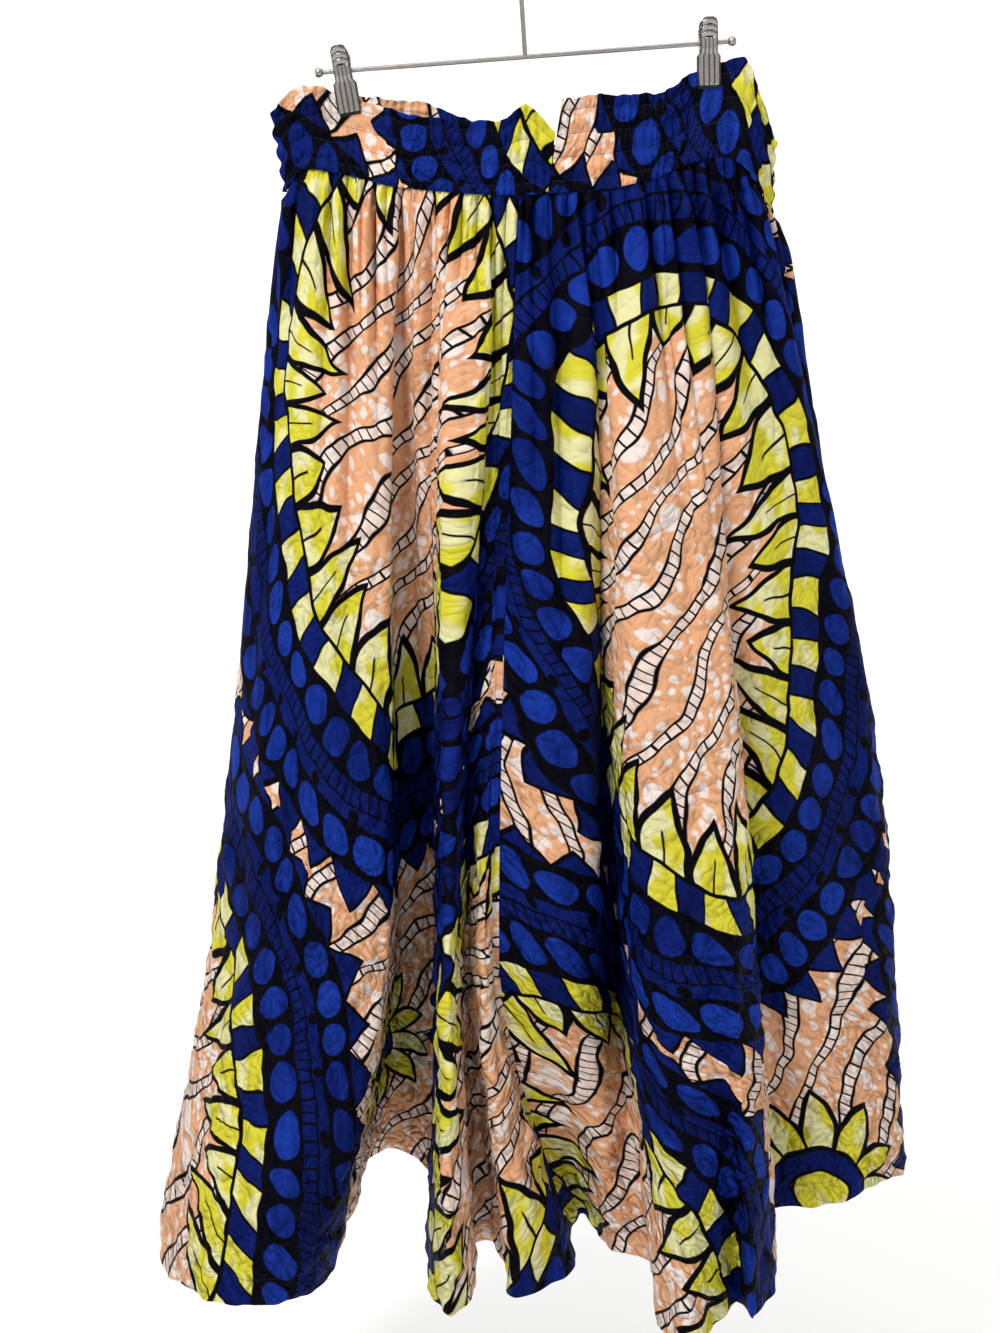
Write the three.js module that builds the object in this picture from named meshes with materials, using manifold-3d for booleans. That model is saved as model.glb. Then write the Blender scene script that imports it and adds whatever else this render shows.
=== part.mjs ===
// Wax print maxi skirt, hung by its waistband from two spring clips on a wire hanger.
// Millimetres, +Z up. The origin is the seat inside the hanger's hook. +X runs to the right
// of the skirt's front and +Y from its front to its back.
//
// Every piece of cloth is a wall of even thickness about a middle surface. The waistband's
// surface runs through the rows of BAND, and a skirt panel's through the rows of FOLDS, which
// say where each line of the cloth lies in plan at the waist, at the knee and at the hem.
import * as THREE from 'three';
import { mergeVertices } from 'three/addons/utils/BufferGeometryUtils.js';
import Module from 'manifold-3d';

// ---- cloth ---------------------------------------------------------------------------
const CLOTH = 1.6; // wall thickness
const SEAM_GAP = 0.3; // between two sewn pieces
const DROP = 935; // skirt length below the waistband, measured along the cloth
const PANEL = 1650; // width of each of the two panels at the hem, straight from row to row
const KNEE = 0.68; // share of DROP at which the folds' knee columns are given
const COLUMN = 24; // widest step between the stations of a panel
const LEVELS = [0, 0.04, 0.13, 0.25, 0.38, 0.51, 0.61, 0.69, 0.76, 0.82, 0.88, 0.94, 1];
const BAND_LEVELS = [0, 0.62, 1];
const PINCH = 0.62; // share of the band's height below which the clips let it spread

// ---- hanger ----------------------------------------------------------------------------
const TILT = THREE.MathUtils.degToRad(4.1); // the hanger hangs with its right end higher
const WIRE = 4; // diameter of the bar and the hook
const HOOK_BEND = 20; // inner radius of the hook
const HOOK_TIP = THREE.MathUtils.degToRad(200); // how far the hook's arc turns
const BAR_DROP = 96; // from the hook's seat to the bar's middle line
const BAR_LENGTH = 330;
const KNOB = 8; // diameter of the bar's end knobs
const CLIP_SPACING = 292;
const FIT = 0.3; // clearance between touching pieces

// ---- clips -----------------------------------------------------------------------------
const JAW_WIDTH = 19;
const JAW_PLATE = 1.3;
const JAW_LENGTH = 32; // from the bar's middle line down to the tip
const JAW_SEAT = 2.1; // from the clip's middle plane to the plate's inner face
const JAW_FLAT = 10.5; // depth below the bar at which the plate stops being flat
const SPRING = 8.4; // outer diameter of the sleeve that stands in for the coil
const SPRING_LENGTH = 15;
const LEVER_WIDTH = 12;
const LEVER_RISE = 18; // from the bar's middle line up to the lever's end
const LEVER_SPREAD = 6; // how far the lever leans outwards over that height
const RIDGES = 4;
const RIDGE = 2.6; // diameter of the ridges on a jaw's outer face
const BEND_OUTSIDE = 0.6; // how much later a bend in a jaw starts on its outer face
const LEVER_FOOT = 1; // how far a lever overlaps its jaw below the bar's middle line
const CLIPS = [
  { side: 'left', along: -CLIP_SPACING / 2, lean: THREE.MathUtils.degToRad(5.4) },
  { side: 'right', along: CLIP_SPACING / 2, lean: THREE.MathUtils.degToRad(-1.9) },
];

// The cloth's own axes start midway between the clips, this far below the bar's middle.
const BAR_OVER_CLOTH = 32.5;

// ---- waistband -------------------------------------------------------------------------
// One strip, sewn end to end at the front. The rows go from that seam to the left, round the
// back and home along the right front. "low" is the edge sewn to the skirt, "top" the free
// one, and both clips pinch the top edges of the front and the back together.
// name, x low, y low, z low, x top, y top, z top
const BAND = [
  ['seam, left end', 18, -24, -73, 24, -21, -27],
  ['folded corner', 0, -26, -74, 0, -22, -6],
  ['front dip', -24, -26, -74, -22, -22, -18],
  ['front sag', -70, -25, -71, -68, -20, -16],
  ['before left clip', -108, -20, -67, -106, -9, -8],
  ['left clip, inner edge', -124, -17, -63, -124, -1, -3],
  ['left clip, outer edge', -156, -15, -56, -156, -1, 6],
  ['left shoulder', -170, -16, -54, -170, -8, 11],
  ['left crease', -180, -11, -57, -184, -7, 8],
  ['left loop', -193, 2, -71, -202, 2, -12],
  ['left loop, back', -182, 17, -62, -186, 11, 6],
  ['left clip, back outer', -156, 12, -56, -156, 1, 6],
  ['left clip, back inner', -124, 13, -61, -124, 1, 2],
  ['back left', -95, 17, -66, -95, 15, 1],
  ['back sag', 15, 19, -93, 15, 18, -33],
  ['back right', 95, 17, -72, 95, 14, -10],
  ['right clip, back inner', 133, 13, -52, 133, 1, 20],
  ['right clip, back outer', 160, 11, -43, 160, 1, 29],
  ['right loop, back', 182, 20, -52, 184, 15, 18],
  ['right loop', 202, 8, -88, 202, 7, -32],
  ['right crease', 185, -7, -66, 184, -5, 8],
  ['right shoulder', 172, -15, -50, 172, -9, 31],
  ['right clip, outer edge', 160, -12, -44, 160, -1, 29],
  ['right clip, inner edge', 133, -14, -49, 133, -1, 20],
  ['front right', 100, -22, -62, 100, -16, 3],
  ['front right, flat', 58, -25, -70, 60, -22, 2],
  ['seam, right end', 18, -24, -73, 29, -21, -1],
];

// ---- skirt panels ----------------------------------------------------------------------
// Each row is one line of the cloth from the waist to the hem: the crest, the side or the
// bottom of a fold. "cloth" is its place round the cloth at the hem, from the front seam to
// the left and round, "waist" its place along the waistband's low edge, from that seam too.
// line, cloth, waist, x knee, y knee, x hem, y hem
const FOLDS = [
  ['front seam', 0, 0, -21, -50, 45, -29],
  ['ridge C, side', 52, 5, -27, -60, 42, -88],
  ['ridge C, crest', 82, 9, -33, -66, 17, -116],
  ['ridge C, far crest', 108, 13, -38, -62, -6, -128],
  ['ridge C, far side', 158, 18, -45, -42, -15, -72],
  ['shallow valley', 203, 23, -51, -24, -31, -33],
  ['ridge B, near foot', 231, 27, -56, -40, -46, -44],
  ['ridge B, near side', 290, 34, -58, -68, -42, -116],
  ['ridge B, crest', 339, 41, -64, -86, -61, -162],
  ['ridge B, far side', 394, 51, -71, -62, -81, -118],
  ['ridge B, far foot', 471, 61, -75, -14, -87, -24],
  ['deep valley, near', 589, 75, -78, 34, -104, 92],
  ['deep valley', 620, 84, -95, 46, -131, 106],
  ['deep valley, far', 646, 94, -110, 36, -148, 90],
  ['fold A, foot', 718, 99, -114, 0, -157, 18],
  ['fold A, inner side', 793, 103, -115, -40, -167, -60],
  ['fold A, edge', 831, 108, -117, -62, -173, -108],
  ['fold A, round', 875, 119, -126, -80, -187, -150],
  ['fold A, near crest', 902, 130, -142, -86, -208, -168],
  ['fold A, crest', 931, 143, -170, -90, -236, -181],
  ['fold A, crease', 955, 156, -195, -88, -260, -178],
  ['fold A, far side', 988, 174, -225, -74, -284, -158],
  ['left edge', 1053, 197, -263, -35, -320, -94],
  ['left side', 1125, 216, -274, 5, -334, -16],
  ['left side, back', 1195, 233, -270, 40, -328, 56],
  ['back crest 1', 1265, 249, -258, 78, -302, 118],
  ['back valley 1', 1310, 263, -232, 66, -268, 92],
  ['back crest 2', 1385, 286, -195, 102, -232, 165],
  ['back valley 2', 1450, 306, -165, 80, -200, 115],
  ['back crest 3', 1540, 333, -125, 118, -150, 195],
  ['back valley 3', 1600, 353, -98, 92, -118, 150],
  ['back crest 4', 1690, 379, -50, 126, -65, 215],
  ['back valley 4', 1750, 397, -15, 96, -25, 150],
  ['back crest 5', 1850, 427, 40, 130, 40, 225],
  ['back valley 5', 1935, 451, 75, 98, 75, 150],
  ['back crest 6', 2040, 481, 130, 130, 135, 228],
  ['back valley 6', 2130, 507, 165, 98, 170, 148],
  ['back crest 7', 2230, 537, 225, 128, 235, 222],
  ['back valley 7', 2310, 561, 255, 100, 265, 152],
  ['back crest 8', 2400, 586, 305, 120, 325, 205],
  ['right side, back', 2440, 599, 322, 108, 360, 165],
  ['right side', 2480, 611, 338, 92, 377, 115],
  ['right edge', 2512, 622, 344, 68, 375, 66],
  ['side panel E, far', 2581, 643, 318, 30, 352, 4],
  ['side panel E, middle', 2625, 661, 280, 10, 315, -23],
  ['side panel E, near', 2669, 678, 232, 0, 271, -31],
  ['side valley', 2705, 689, 205, 2, 236, -25],
  ['fold D, far foot', 2772, 697, 201, -45, 226, -92],
  ['fold D, far side', 2842, 705, 192, -80, 209, -160],
  ['fold D, small crest', 2883, 713, 180, -98, 190, -196],
  ['fold D, notch', 2925, 723, 165, -100, 184, -158],
  ['fold D, near crest', 2976, 735, 140, -106, 158, -199],
  ['fold D, crest', 3008, 746, 115, -108, 135, -226],
  ['fold D, round', 3046, 757, 98, -85, 116, -192],
  ['fold D, edge', 3120, 763, 92, -25, 116, -122],
  ['narrow valley', 3165, 768, 78, 15, 112, -68],
  ['ridge C, near edge', 3205, 780, 60, -50, 82, -52],
  ['ridge C, near', 3259, 816, 12, -66, 58, 8],
];

// A column of a table, closed into a loop of the given length or open, as a curve that
// passes through every row. "eased" keeps it from overshooting between two rows.
function curve(at, values, loop, eased) {
  const n = at.length;
  const place = (i) => (loop ? at[((i % n) + n) % n] + Math.floor(i / n) * loop : at[i]);
  const value = (i) => values[((i % n) + n) % n];
  const last = loop ? n : n - 1;
  const chord = (i) => (value(i + 1) - value(i)) / (place(i + 1) - place(i));
  function slope(i) {
    if (!loop && i === 0) return chord(0);
    if (!loop && i === last) return chord(last - 1);
    const before = place(i) - place(i - 1);
    const after = place(i + 1) - place(i);
    const left = chord(i - 1);
    const right = chord(i);
    if (!eased) return (left * after + right * before) / (before + after);
    if (left * right <= 0) return 0;
    const wl = 2 * after + before;
    const wr = after + 2 * before;
    return (wl + wr) / (wl / left + wr / right);
  }
  return (where) => {
    const p = loop ? ((where % loop) + loop) % loop : where;
    let i = 0;
    while (i < last - 1 && place(i + 1) <= p) i += 1;
    const step = place(i + 1) - place(i);
    const s = (p - place(i)) / step;
    const a = value(i);
    const b = value(i + 1);
    const ta = slope(i) * step;
    const tb = slope(i + 1) * step;
    return a + s * ta + s * s * (3 * (b - a) - 2 * ta - tb) + s * s * s * (2 * (a - b) + ta + tb);
  };
}

const column = (table, k) => table.map((row) => row[k]);

// Distance of each band row from the first, along the low edge in plan.
const bandPlaces = [0];
for (let i = 1; i < BAND.length; i += 1) {
  const step = Math.hypot(BAND[i][1] - BAND[i - 1][1], BAND[i][2] - BAND[i - 1][2]);
  bandPlaces.push(bandPlaces[i - 1] + step);
}
const WAIST = bandPlaces[bandPlaces.length - 1];
const SKIRT_SEAM = 23; // from the band's own seam to the skirt's front seam

const low = [1, 2, 3].map((k) => curve(bandPlaces, column(BAND, k), 0, true));
const top = [4, 5, 6].map((k) => curve(bandPlaces, column(BAND, k), 0, true));

// Middle surface of the waistband: place along it, and share of its height from the low edge.
function bandPoint(place, share) {
  const spread = Math.min(1, share / PINCH);
  const ease = spread * spread * (3 - 2 * spread);
  const mix = (k, s) => low[k](place) * (1 - s) + top[k](place) * s;
  return new THREE.Vector3(mix(0, share), mix(1, ease), mix(2, share));
}

const LOOP = 2 * PANEL;
const clothPlaces = column(FOLDS, 1);
const waistAt = curve(
  [...clothPlaces, LOOP], [...column(FOLDS, 2), WAIST], 0, true);
const knee = [3, 4].map((k) => curve(clothPlaces, column(FOLDS, k), LOOP, false));
const hem = [5, 6].map((k) => curve(clothPlaces, column(FOLDS, k), LOOP, false));

function bandPlace(cloth) {
  const along = ((cloth % LOOP) + LOOP) % LOOP;
  return (SKIRT_SEAM + waistAt(along)) % WAIST;
}

// Middle surface of the skirt: place round the cloth, and share of its length from the waist.
// A line that moves sideways on its way down ends a little higher, as cloth does not stretch.
function skirtPoint(cloth, share) {
  const place = bandPlace(cloth);
  const start = bandPoint(place, 0);
  const path = (k, from) => curve([0, KNEE, 1], [from, knee[k](cloth), hem[k](cloth)], 0, true);
  const x = path(0, start.x)(share);
  const y = path(1, start.y)(share);
  const sideways = Math.hypot(x - start.x, y - start.y);
  const fall = Math.sqrt(Math.max(0, (share * DROP) ** 2 - sideways ** 2));
  return new THREE.Vector3(x, y, start.z - SEAM_GAP - fall);
}

// A closed wall about a middle surface, its faces half a thickness to either side in plan.
function wall(point, places, shares) {
  const nearby = 0.5;
  const faces = [[], []];
  for (const share of shares) {
    for (const place of places) {
      const middle = point(place, share);
      const run = point(place + nearby, share).sub(point(place - nearby, share));
      const out = new THREE.Vector3(run.y, -run.x, 0).normalize().multiplyScalar(CLOTH / 2);
      faces[0].push(middle.clone().add(out));
      faces[1].push(middle.clone().sub(out));
    }
  }
  const columns = places.length;
  const rows = shares.length;
  const vertex = (face, r, c) => face * columns * rows + r * columns + c;
  const points = [...faces[0], ...faces[1]];
  const index = [];
  // Split along the shorter diagonal, which keeps a steep fold from going ragged.
  function quad(a, b, c, d) {
    const shorter = points[a].distanceTo(points[c]) <= points[b].distanceTo(points[d]);
    index.push(...(shorter ? [a, b, c, a, c, d] : [a, b, d, b, c, d]));
  }
  for (let r = 0; r < rows - 1; r += 1) {
    for (let c = 0; c < columns - 1; c += 1) {
      quad(vertex(0, r, c), vertex(0, r + 1, c), vertex(0, r + 1, c + 1), vertex(0, r, c + 1));
      quad(vertex(1, r, c), vertex(1, r, c + 1), vertex(1, r + 1, c + 1), vertex(1, r + 1, c));
    }
    const end = columns - 1;
    quad(vertex(0, r, 0), vertex(1, r, 0), vertex(1, r + 1, 0), vertex(0, r + 1, 0));
    quad(vertex(0, r, end), vertex(0, r + 1, end), vertex(1, r + 1, end), vertex(1, r, end));
  }
  const foot = rows - 1;
  for (let c = 0; c < columns - 1; c += 1) {
    quad(vertex(0, 0, c), vertex(0, 0, c + 1), vertex(1, 0, c + 1), vertex(1, 0, c));
    quad(vertex(0, foot, c), vertex(1, foot, c), vertex(1, foot, c + 1), vertex(0, foot, c + 1));
  }
  const geometry = new THREE.BufferGeometry();
  const numbers = points.flatMap((p) => p.toArray());
  geometry.setAttribute('position', new THREE.Float32BufferAttribute(numbers, 3));
  geometry.setIndex(index);
  return outward(geometry);
}

// Turns a closed geometry's faces outwards.
function outward(geometry) {
  const at = geometry.attributes.position;
  const index = geometry.index.array;
  const corner = [0, 1, 2].map(() => new THREE.Vector3());
  let volume = 0;
  for (let i = 0; i < index.length; i += 3) {
    corner.forEach((v, k) => v.fromBufferAttribute(at, index[i + k]));
    volume += corner[0].dot(corner[1].clone().cross(corner[2]));
  }
  if (volume < 0) {
    const turned = [];
    for (let i = 0; i < index.length; i += 3) turned.push(index[i], index[i + 2], index[i + 1]);
    geometry.setIndex(turned);
  }
  return geometry;
}

// Place round the cloth that is sewn to a place along the waistband.
function clothAt(place) {
  const along = (place - SKIRT_SEAM + WAIST) % WAIST;
  let [from, to] = [0, LOOP];
  while (to - from > 0.001) {
    const middle = (from + to) / 2;
    if (waistAt(middle) < along) from = middle;
    else to = middle;
  }
  return from;
}

// Stations round the cloth from one place to another: every row of FOLDS, the edges of the
// clips' pinches, and steps between.
const pinchPlaces = bandPlaces.filter((_, i) => BAND[i][0].includes('clip,')).map(clothAt);
function stations(from, to) {
  const marks = [...clothPlaces, ...pinchPlaces]
    .filter((p) => p > from + 1 && p < to - 1)
    .sort((a, b) => a - b);
  const ends = [from, ...marks, to];
  const places = [from];
  for (let i = 1; i < ends.length; i += 1) {
    const run = ends[i] - ends[i - 1];
    const steps = Math.max(1, Math.round(run / COLUMN));
    for (let s = 1; s <= steps; s += 1) places.push(ends[i - 1] + (run * s) / steps);
  }
  return places;
}

const leftStations = stations(SEAM_GAP / 2, PANEL - SEAM_GAP / 2);
const rightStations = stations(PANEL + SEAM_GAP / 2, LOOP - SEAM_GAP / 2);
const bandStations = [...leftStations, ...rightStations]
  .map(bandPlace)
  .filter((p) => p > 1 && p < WAIST - 1)
  .sort((a, b) => a - b);

const skirtMaterial = () => new THREE.MeshStandardMaterial({ color: 0x1a3590, roughness: 0.8 });
const steel = () => new THREE.MeshStandardMaterial({ color: 0xb9b6b2, roughness: 0.25, metalness: 1 });

function piece(name, geometry, material) {
  const mesh = new THREE.Mesh(geometry, material);
  mesh.name = name;
  return mesh;
}

// ---- solids joined from simple shapes ------------------------------------------------------
const wasm = await Module();
wasm.setup();

function solid(geometry, matrix = new THREE.Matrix4()) {
  const bare = geometry.clone().applyMatrix4(matrix);
  bare.deleteAttribute('normal');
  bare.deleteAttribute('uv');
  const merged = mergeVertices(bare, 1e-4);
  return new wasm.Manifold(new wasm.Mesh({
    numProp: 3,
    vertProperties: new Float32Array(merged.attributes.position.array),
    triVerts: new Uint32Array(merged.index.array),
  }));
}

function geometryOf(manifold) {
  const mesh = manifold.getMesh();
  const geometry = new THREE.BufferGeometry();
  const numbers = new Float32Array(mesh.vertProperties);
  geometry.setAttribute('position', new THREE.BufferAttribute(numbers, 3));
  geometry.setIndex([...mesh.triVerts]);
  return geometry;
}

const moved = (x, y, z) => new THREE.Matrix4().makeTranslation(x, y, z);
const acrossX = new THREE.Matrix4().makeRotationZ(-Math.PI / 2); // a cylinder's axis from Y to X

// Round wire along a path.
function wire(path, steps) {
  const section = new THREE.Shape().absarc(0, 0, WIRE / 2, 0, 2 * Math.PI);
  return new THREE.ExtrudeGeometry(section, { steps, curveSegments: 6, extrudePath: path });
}

// The hook: up from the bar, round over the seat and down to the tip.
class HookPath extends THREE.Curve {
  getPoint(t, target = new THREE.Vector3()) {
    const radius = HOOK_BEND + WIRE / 2;
    const centre = -HOOK_BEND;
    const neck = BAR_DROP - HOOK_BEND - radius;
    const lead = neck + Math.SQRT2 * radius;
    const arc = radius * HOOK_TIP;
    const along = t * (lead + arc);
    if (along <= neck) return target.set(0, 0, along - BAR_DROP);
    if (along <= lead) {
      const s = (along - neck) / (lead - neck);
      const ease = s * s * (3 - 2 * s);
      return target.set(radius * ease, 0, centre - radius + radius * s);
    }
    const turn = (along - lead) / radius;
    return target.set(radius * Math.cos(turn), 0, centre + radius * Math.sin(turn));
  }
}

function hangerFrame() {
  const bar = new THREE.CylinderGeometry(WIRE / 2, WIRE / 2, BAR_LENGTH, 12).applyMatrix4(acrossX);
  let frame = solid(bar, moved(0, 0, -BAR_DROP));
  for (const end of [-1, 1]) {
    const knob = new THREE.SphereGeometry(KNOB / 2, 12, 8);
    frame = frame.add(solid(knob, moved((end * BAR_LENGTH) / 2, 0, -BAR_DROP)));
  }
  return geometryOf(frame.add(solid(wire(new HookPath(), 40))));
}

// Outline of a jaw seen from the side: out from the middle plane, and up from the bar.
function jawOutline() {
  const hug = SPRING / 2 + FIT;
  const shape = new THREE.Shape();
  shape.moveTo(JAW_SEAT, -JAW_LENGTH);
  shape.lineTo(JAW_SEAT, -JAW_FLAT);
  shape.lineTo(hug, -SPRING / 2);
  shape.lineTo(hug, SPRING / 2);
  shape.lineTo(hug + JAW_PLATE, SPRING / 2);
  shape.lineTo(hug + JAW_PLATE, -SPRING / 2 - BEND_OUTSIDE);
  shape.lineTo(JAW_SEAT + JAW_PLATE, -JAW_FLAT - BEND_OUTSIDE);
  shape.lineTo(JAW_SEAT + JAW_PLATE, -JAW_LENGTH);
  shape.closePath();
  return shape;
}

function leverOutline() {
  const hug = SPRING / 2 + FIT;
  const shape = new THREE.Shape();
  shape.moveTo(hug, -LEVER_FOOT);
  shape.lineTo(hug, SPRING / 2);
  shape.lineTo(hug + LEVER_SPREAD, LEVER_RISE);
  shape.lineTo(hug + LEVER_SPREAD + JAW_PLATE, LEVER_RISE);
  shape.lineTo(hug + JAW_PLATE, SPRING / 2);
  shape.lineTo(hug + JAW_PLATE, -LEVER_FOOT);
  shape.closePath();
  return shape;
}

// A side outline pulled out to a width across the clip. "facing" is -1 in front, 1 behind.
function across(outline, width, facing) {
  const body = new THREE.ExtrudeGeometry(outline, { depth: width, bevelEnabled: false });
  const axes = new THREE.Matrix4().makeBasis(
    new THREE.Vector3(0, facing, 0), new THREE.Vector3(0, 0, 1), new THREE.Vector3(facing, 0, 0));
  return solid(body, axes.premultiply(moved((-facing * width) / 2, 0, 0)));
}

function jaw(facing) {
  let body = across(jawOutline(), JAW_WIDTH, facing).add(across(leverOutline(), LEVER_WIDTH, facing));
  const tall = JAW_LENGTH - JAW_FLAT - BEND_OUTSIDE;
  const upright = new THREE.Matrix4().makeRotationX(Math.PI / 2);
  for (let i = 0; i < RIDGES; i += 1) {
    const x = (i - (RIDGES - 1) / 2) * (JAW_WIDTH / RIDGES);
    const ridge = new THREE.CylinderGeometry(RIDGE / 2, RIDGE / 2, tall, 10).applyMatrix4(upright);
    const out = facing * (JAW_SEAT + JAW_PLATE);
    body = body.add(solid(ridge, moved(x, out, -JAW_LENGTH + tall / 2)));
  }
  return geometryOf(body);
}

function springCoil() {
  const inner = WIRE / 2 + FIT;
  const outer = SPRING / 2;
  const half = SPRING_LENGTH / 2;
  const profile = [[inner, -half], [outer, -half], [outer, half], [inner, half], [inner, -half]];
  const ring = new THREE.LatheGeometry(profile.map(([r, h]) => new THREE.Vector2(r, h)), 20);
  return geometryOf(solid(ring.applyMatrix4(acrossX)));
}

// ---- assembly --------------------------------------------------------------------------------
const part = new THREE.Group();

const hanger = new THREE.Group();
hanger.rotation.y = -TILT;
hanger.add(piece('hanger', hangerFrame(), steel()));
for (const clip of CLIPS) {
  const group = new THREE.Group();
  group.position.set(clip.along, 0, -BAR_DROP);
  group.rotation.y = -clip.lean;
  group.add(piece(`clip_${clip.side}_front_jaw`, jaw(-1), steel()));
  group.add(piece(`clip_${clip.side}_back_jaw`, jaw(1), steel()));
  const spring = piece(`clip_${clip.side}_spring`, springCoil(), steel());
  spring.position.copy(group.position);
  hanger.add(group, spring);
}
part.add(hanger);

const cloth = new THREE.Group();
cloth.position.set(BAR_DROP * Math.sin(TILT), 0, -BAR_DROP * Math.cos(TILT) - BAR_OVER_CLOTH);
const bandEnds = [SEAM_GAP / 2, ...bandStations, WAIST - SEAM_GAP / 2];
cloth.add(piece('waistband', wall(bandPoint, bandEnds, BAND_LEVELS), skirtMaterial()));
cloth.add(piece('panel_left', wall(skirtPoint, leftStations, LEVELS), skirtMaterial()));
cloth.add(piece('panel_right', wall(skirtPoint, rightStations, LEVELS), skirtMaterial()));
part.add(cloth);

export default part;
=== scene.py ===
"""A full-length gathered skirt of wax print cotton, hung by its waistband from two clips."""

import math

import bpy
import numpy as np
from mathutils import Matrix, Vector


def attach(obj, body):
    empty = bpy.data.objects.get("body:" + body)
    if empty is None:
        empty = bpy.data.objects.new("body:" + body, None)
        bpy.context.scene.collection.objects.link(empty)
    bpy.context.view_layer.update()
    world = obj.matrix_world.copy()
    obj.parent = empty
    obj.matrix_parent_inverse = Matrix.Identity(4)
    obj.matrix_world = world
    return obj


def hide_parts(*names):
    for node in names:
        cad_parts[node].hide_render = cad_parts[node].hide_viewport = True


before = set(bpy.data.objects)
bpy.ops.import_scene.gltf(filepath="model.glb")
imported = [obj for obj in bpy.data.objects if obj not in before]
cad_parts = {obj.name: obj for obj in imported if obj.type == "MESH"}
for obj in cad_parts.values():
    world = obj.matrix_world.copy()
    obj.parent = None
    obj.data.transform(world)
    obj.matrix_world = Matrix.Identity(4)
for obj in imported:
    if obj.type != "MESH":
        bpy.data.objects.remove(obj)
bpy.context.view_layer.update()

bl_info = {
    "name": "Wax Print Skirt",
    "version": (1, 0, 0),
    "blender": (4, 5, 0),
    "location": "3D View > Sidebar > Skirt",
    "description": "Gathered maxi skirt of wax print cotton on a clip hanger",
    "category": "Add Mesh",
}

# ---- where the cloth hangs ----
# Millimetres. The hanger hangs from its hook's seat at the origin, its right end higher, and
# the cloth's own axes start midway between the clips, below the bar.
MM = 0.001
TILT = math.radians(4.1)
BAR_DROP = 96  # from the hook's seat to the middle of the bar
BAR_OVER_CLOTH = 32.5
CLOTH_ORIGIN = np.array(
    [BAR_DROP * math.sin(TILT), 0, -BAR_DROP * math.cos(TILT) - BAR_OVER_CLOTH]
)
SEAM_GAP = 0.3  # between pieces that are sewn together
DROP = 935  # skirt length below the waistband, along the cloth
PANEL = 1650  # width of each of the two panels at the hem, straight from row to row
LOOP = 2 * PANEL
KNEE = 0.68  # share of DROP at which the folds' knee columns are given
PINCH = 0.62  # share of the band's height below which the clips let it spread
SKIRT_SEAM = 23  # from the band's own seam to the skirt's front seam
SMOOTH_CLOTH = math.radians(60)  # edges of cloth that bend less are shaded smoothly
SMOOTH_METAL = math.radians(50)

# The cloth's map gives each point's place on the flat cloth, in metres. A shift, like the
# other sizes here in millimetres, moves the print on it.
CLOTH_MAP = "Cloth"
PANEL_COLUMN = 4.7
PANEL_ROW = 7.2
BAND_HEIGHT = 72
BAND_COLUMN = 1.5
BAND_ROW = 1.6
BAND_STRETCH = 1.37  # flat length of the band over its gathered length
STITCH_FIRST = 9  # from the band's low edge to its first row of elastic stitching
STITCH_SPACING = 18
STITCH_ROWS = 4
PUCKER = 6.2  # from one pucker of the band to the next
PUCKER_DEPTH = 0.55
PUCKER_SWELL = 0.75  # added to the puckers' depth between rows of stitching
ROLL = 2.1  # how far the band swells between rows of stitching
LUMP = 1.4  # how far the lumps between puckers stand out
EDGE_RISE = 1.1  # how far the band's top edge wanders up and down
STITCH = 0.0036  # from one stitch to the next, in metres
HEM_ROW = 21  # height of the hem's stitches above its edge
HEM_FLUTTER = 1.1  # how far the hem waves in and out
HEM_RISE = 0.8  # how far the hem's edge wanders up and down
SEAM_HOLD = 0.75  # share of the relief that the stitches of a seam take away
SEAM_REACH = 9  # how far from a seam its stitches hold the cloth
THREAD = 0.0006  # from one thread of the weave to the next, in metres
CUT_HEM = 1750  # flat width of a panel at the hem
FLARE = 1.5  # how late a panel widens from waist to hem
PRINT_SCALE = 1.3  # size of the print over the sizes given for its parts
BAND_SHIFT = (-342, 336)
# side, where it starts round the cloth, flat width at the waist, shift of its print
PANELS = [
    ("left", 0, 640, (170, 205)),
    ("right", PANEL, 760, (-225, 345)),
]

# ---- hanger and clips ----
WIRE = 4  # diameter of the bar and the hook
HOOK_BEND = 20  # radius inside the hook
HOOK_TIP = math.radians(200)  # how far round the hook reaches
HOOK_STEPS = 48
NECK_STEPS = 16
BAR_LENGTH = 330
KNOB = 8
KNOB_FACE = 0.36  # from the end of the bar to the knob's flat face, as a share of KNOB
SPRING = 8.4
SPRING_WIRE = 1.3
SPRING_LENGTH = 15
SPRING_TURNS = 10
COIL_STEPS = 20
LEG = 11  # height of the spring's legs above the bar's middle line
FIRST_ROW = 0.2  # half height of the row of faces that a plate is drawn out from
JAW_ROW = 0.75
JAW_COLUMNS = 48
JAW_WALL = 0.9
JAW_RIBS = 4
RIB_REACH = 0.9  # share of the half width that the ribs fill
RIB = 1.1  # how far a rib stands out
RIM_SET = 0.5  # how far the plate's rim is set back beside its ribs
# map of the ribs' heights, by which shade is painted into the grooves between them
RIB_MAP = "Ribs"
RIB_MAP_HEIGHT = 50
GRIP_FOOT = 4
GRIP_MARGIN = 0.6
GRIP_RIBS = 3
GRIP_RIB = 1.3
GRIP_PITCH = 4.3
GRIP_ARCH = 2.6
TIP_OUT = 1.9
TIP_HALF = 8.3
TIP_ROWS = (-34.2, -30, -25)
TIP_COLUMNS = 24
TIP_WALL = 0.9
TOOTH = 0.9
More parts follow.
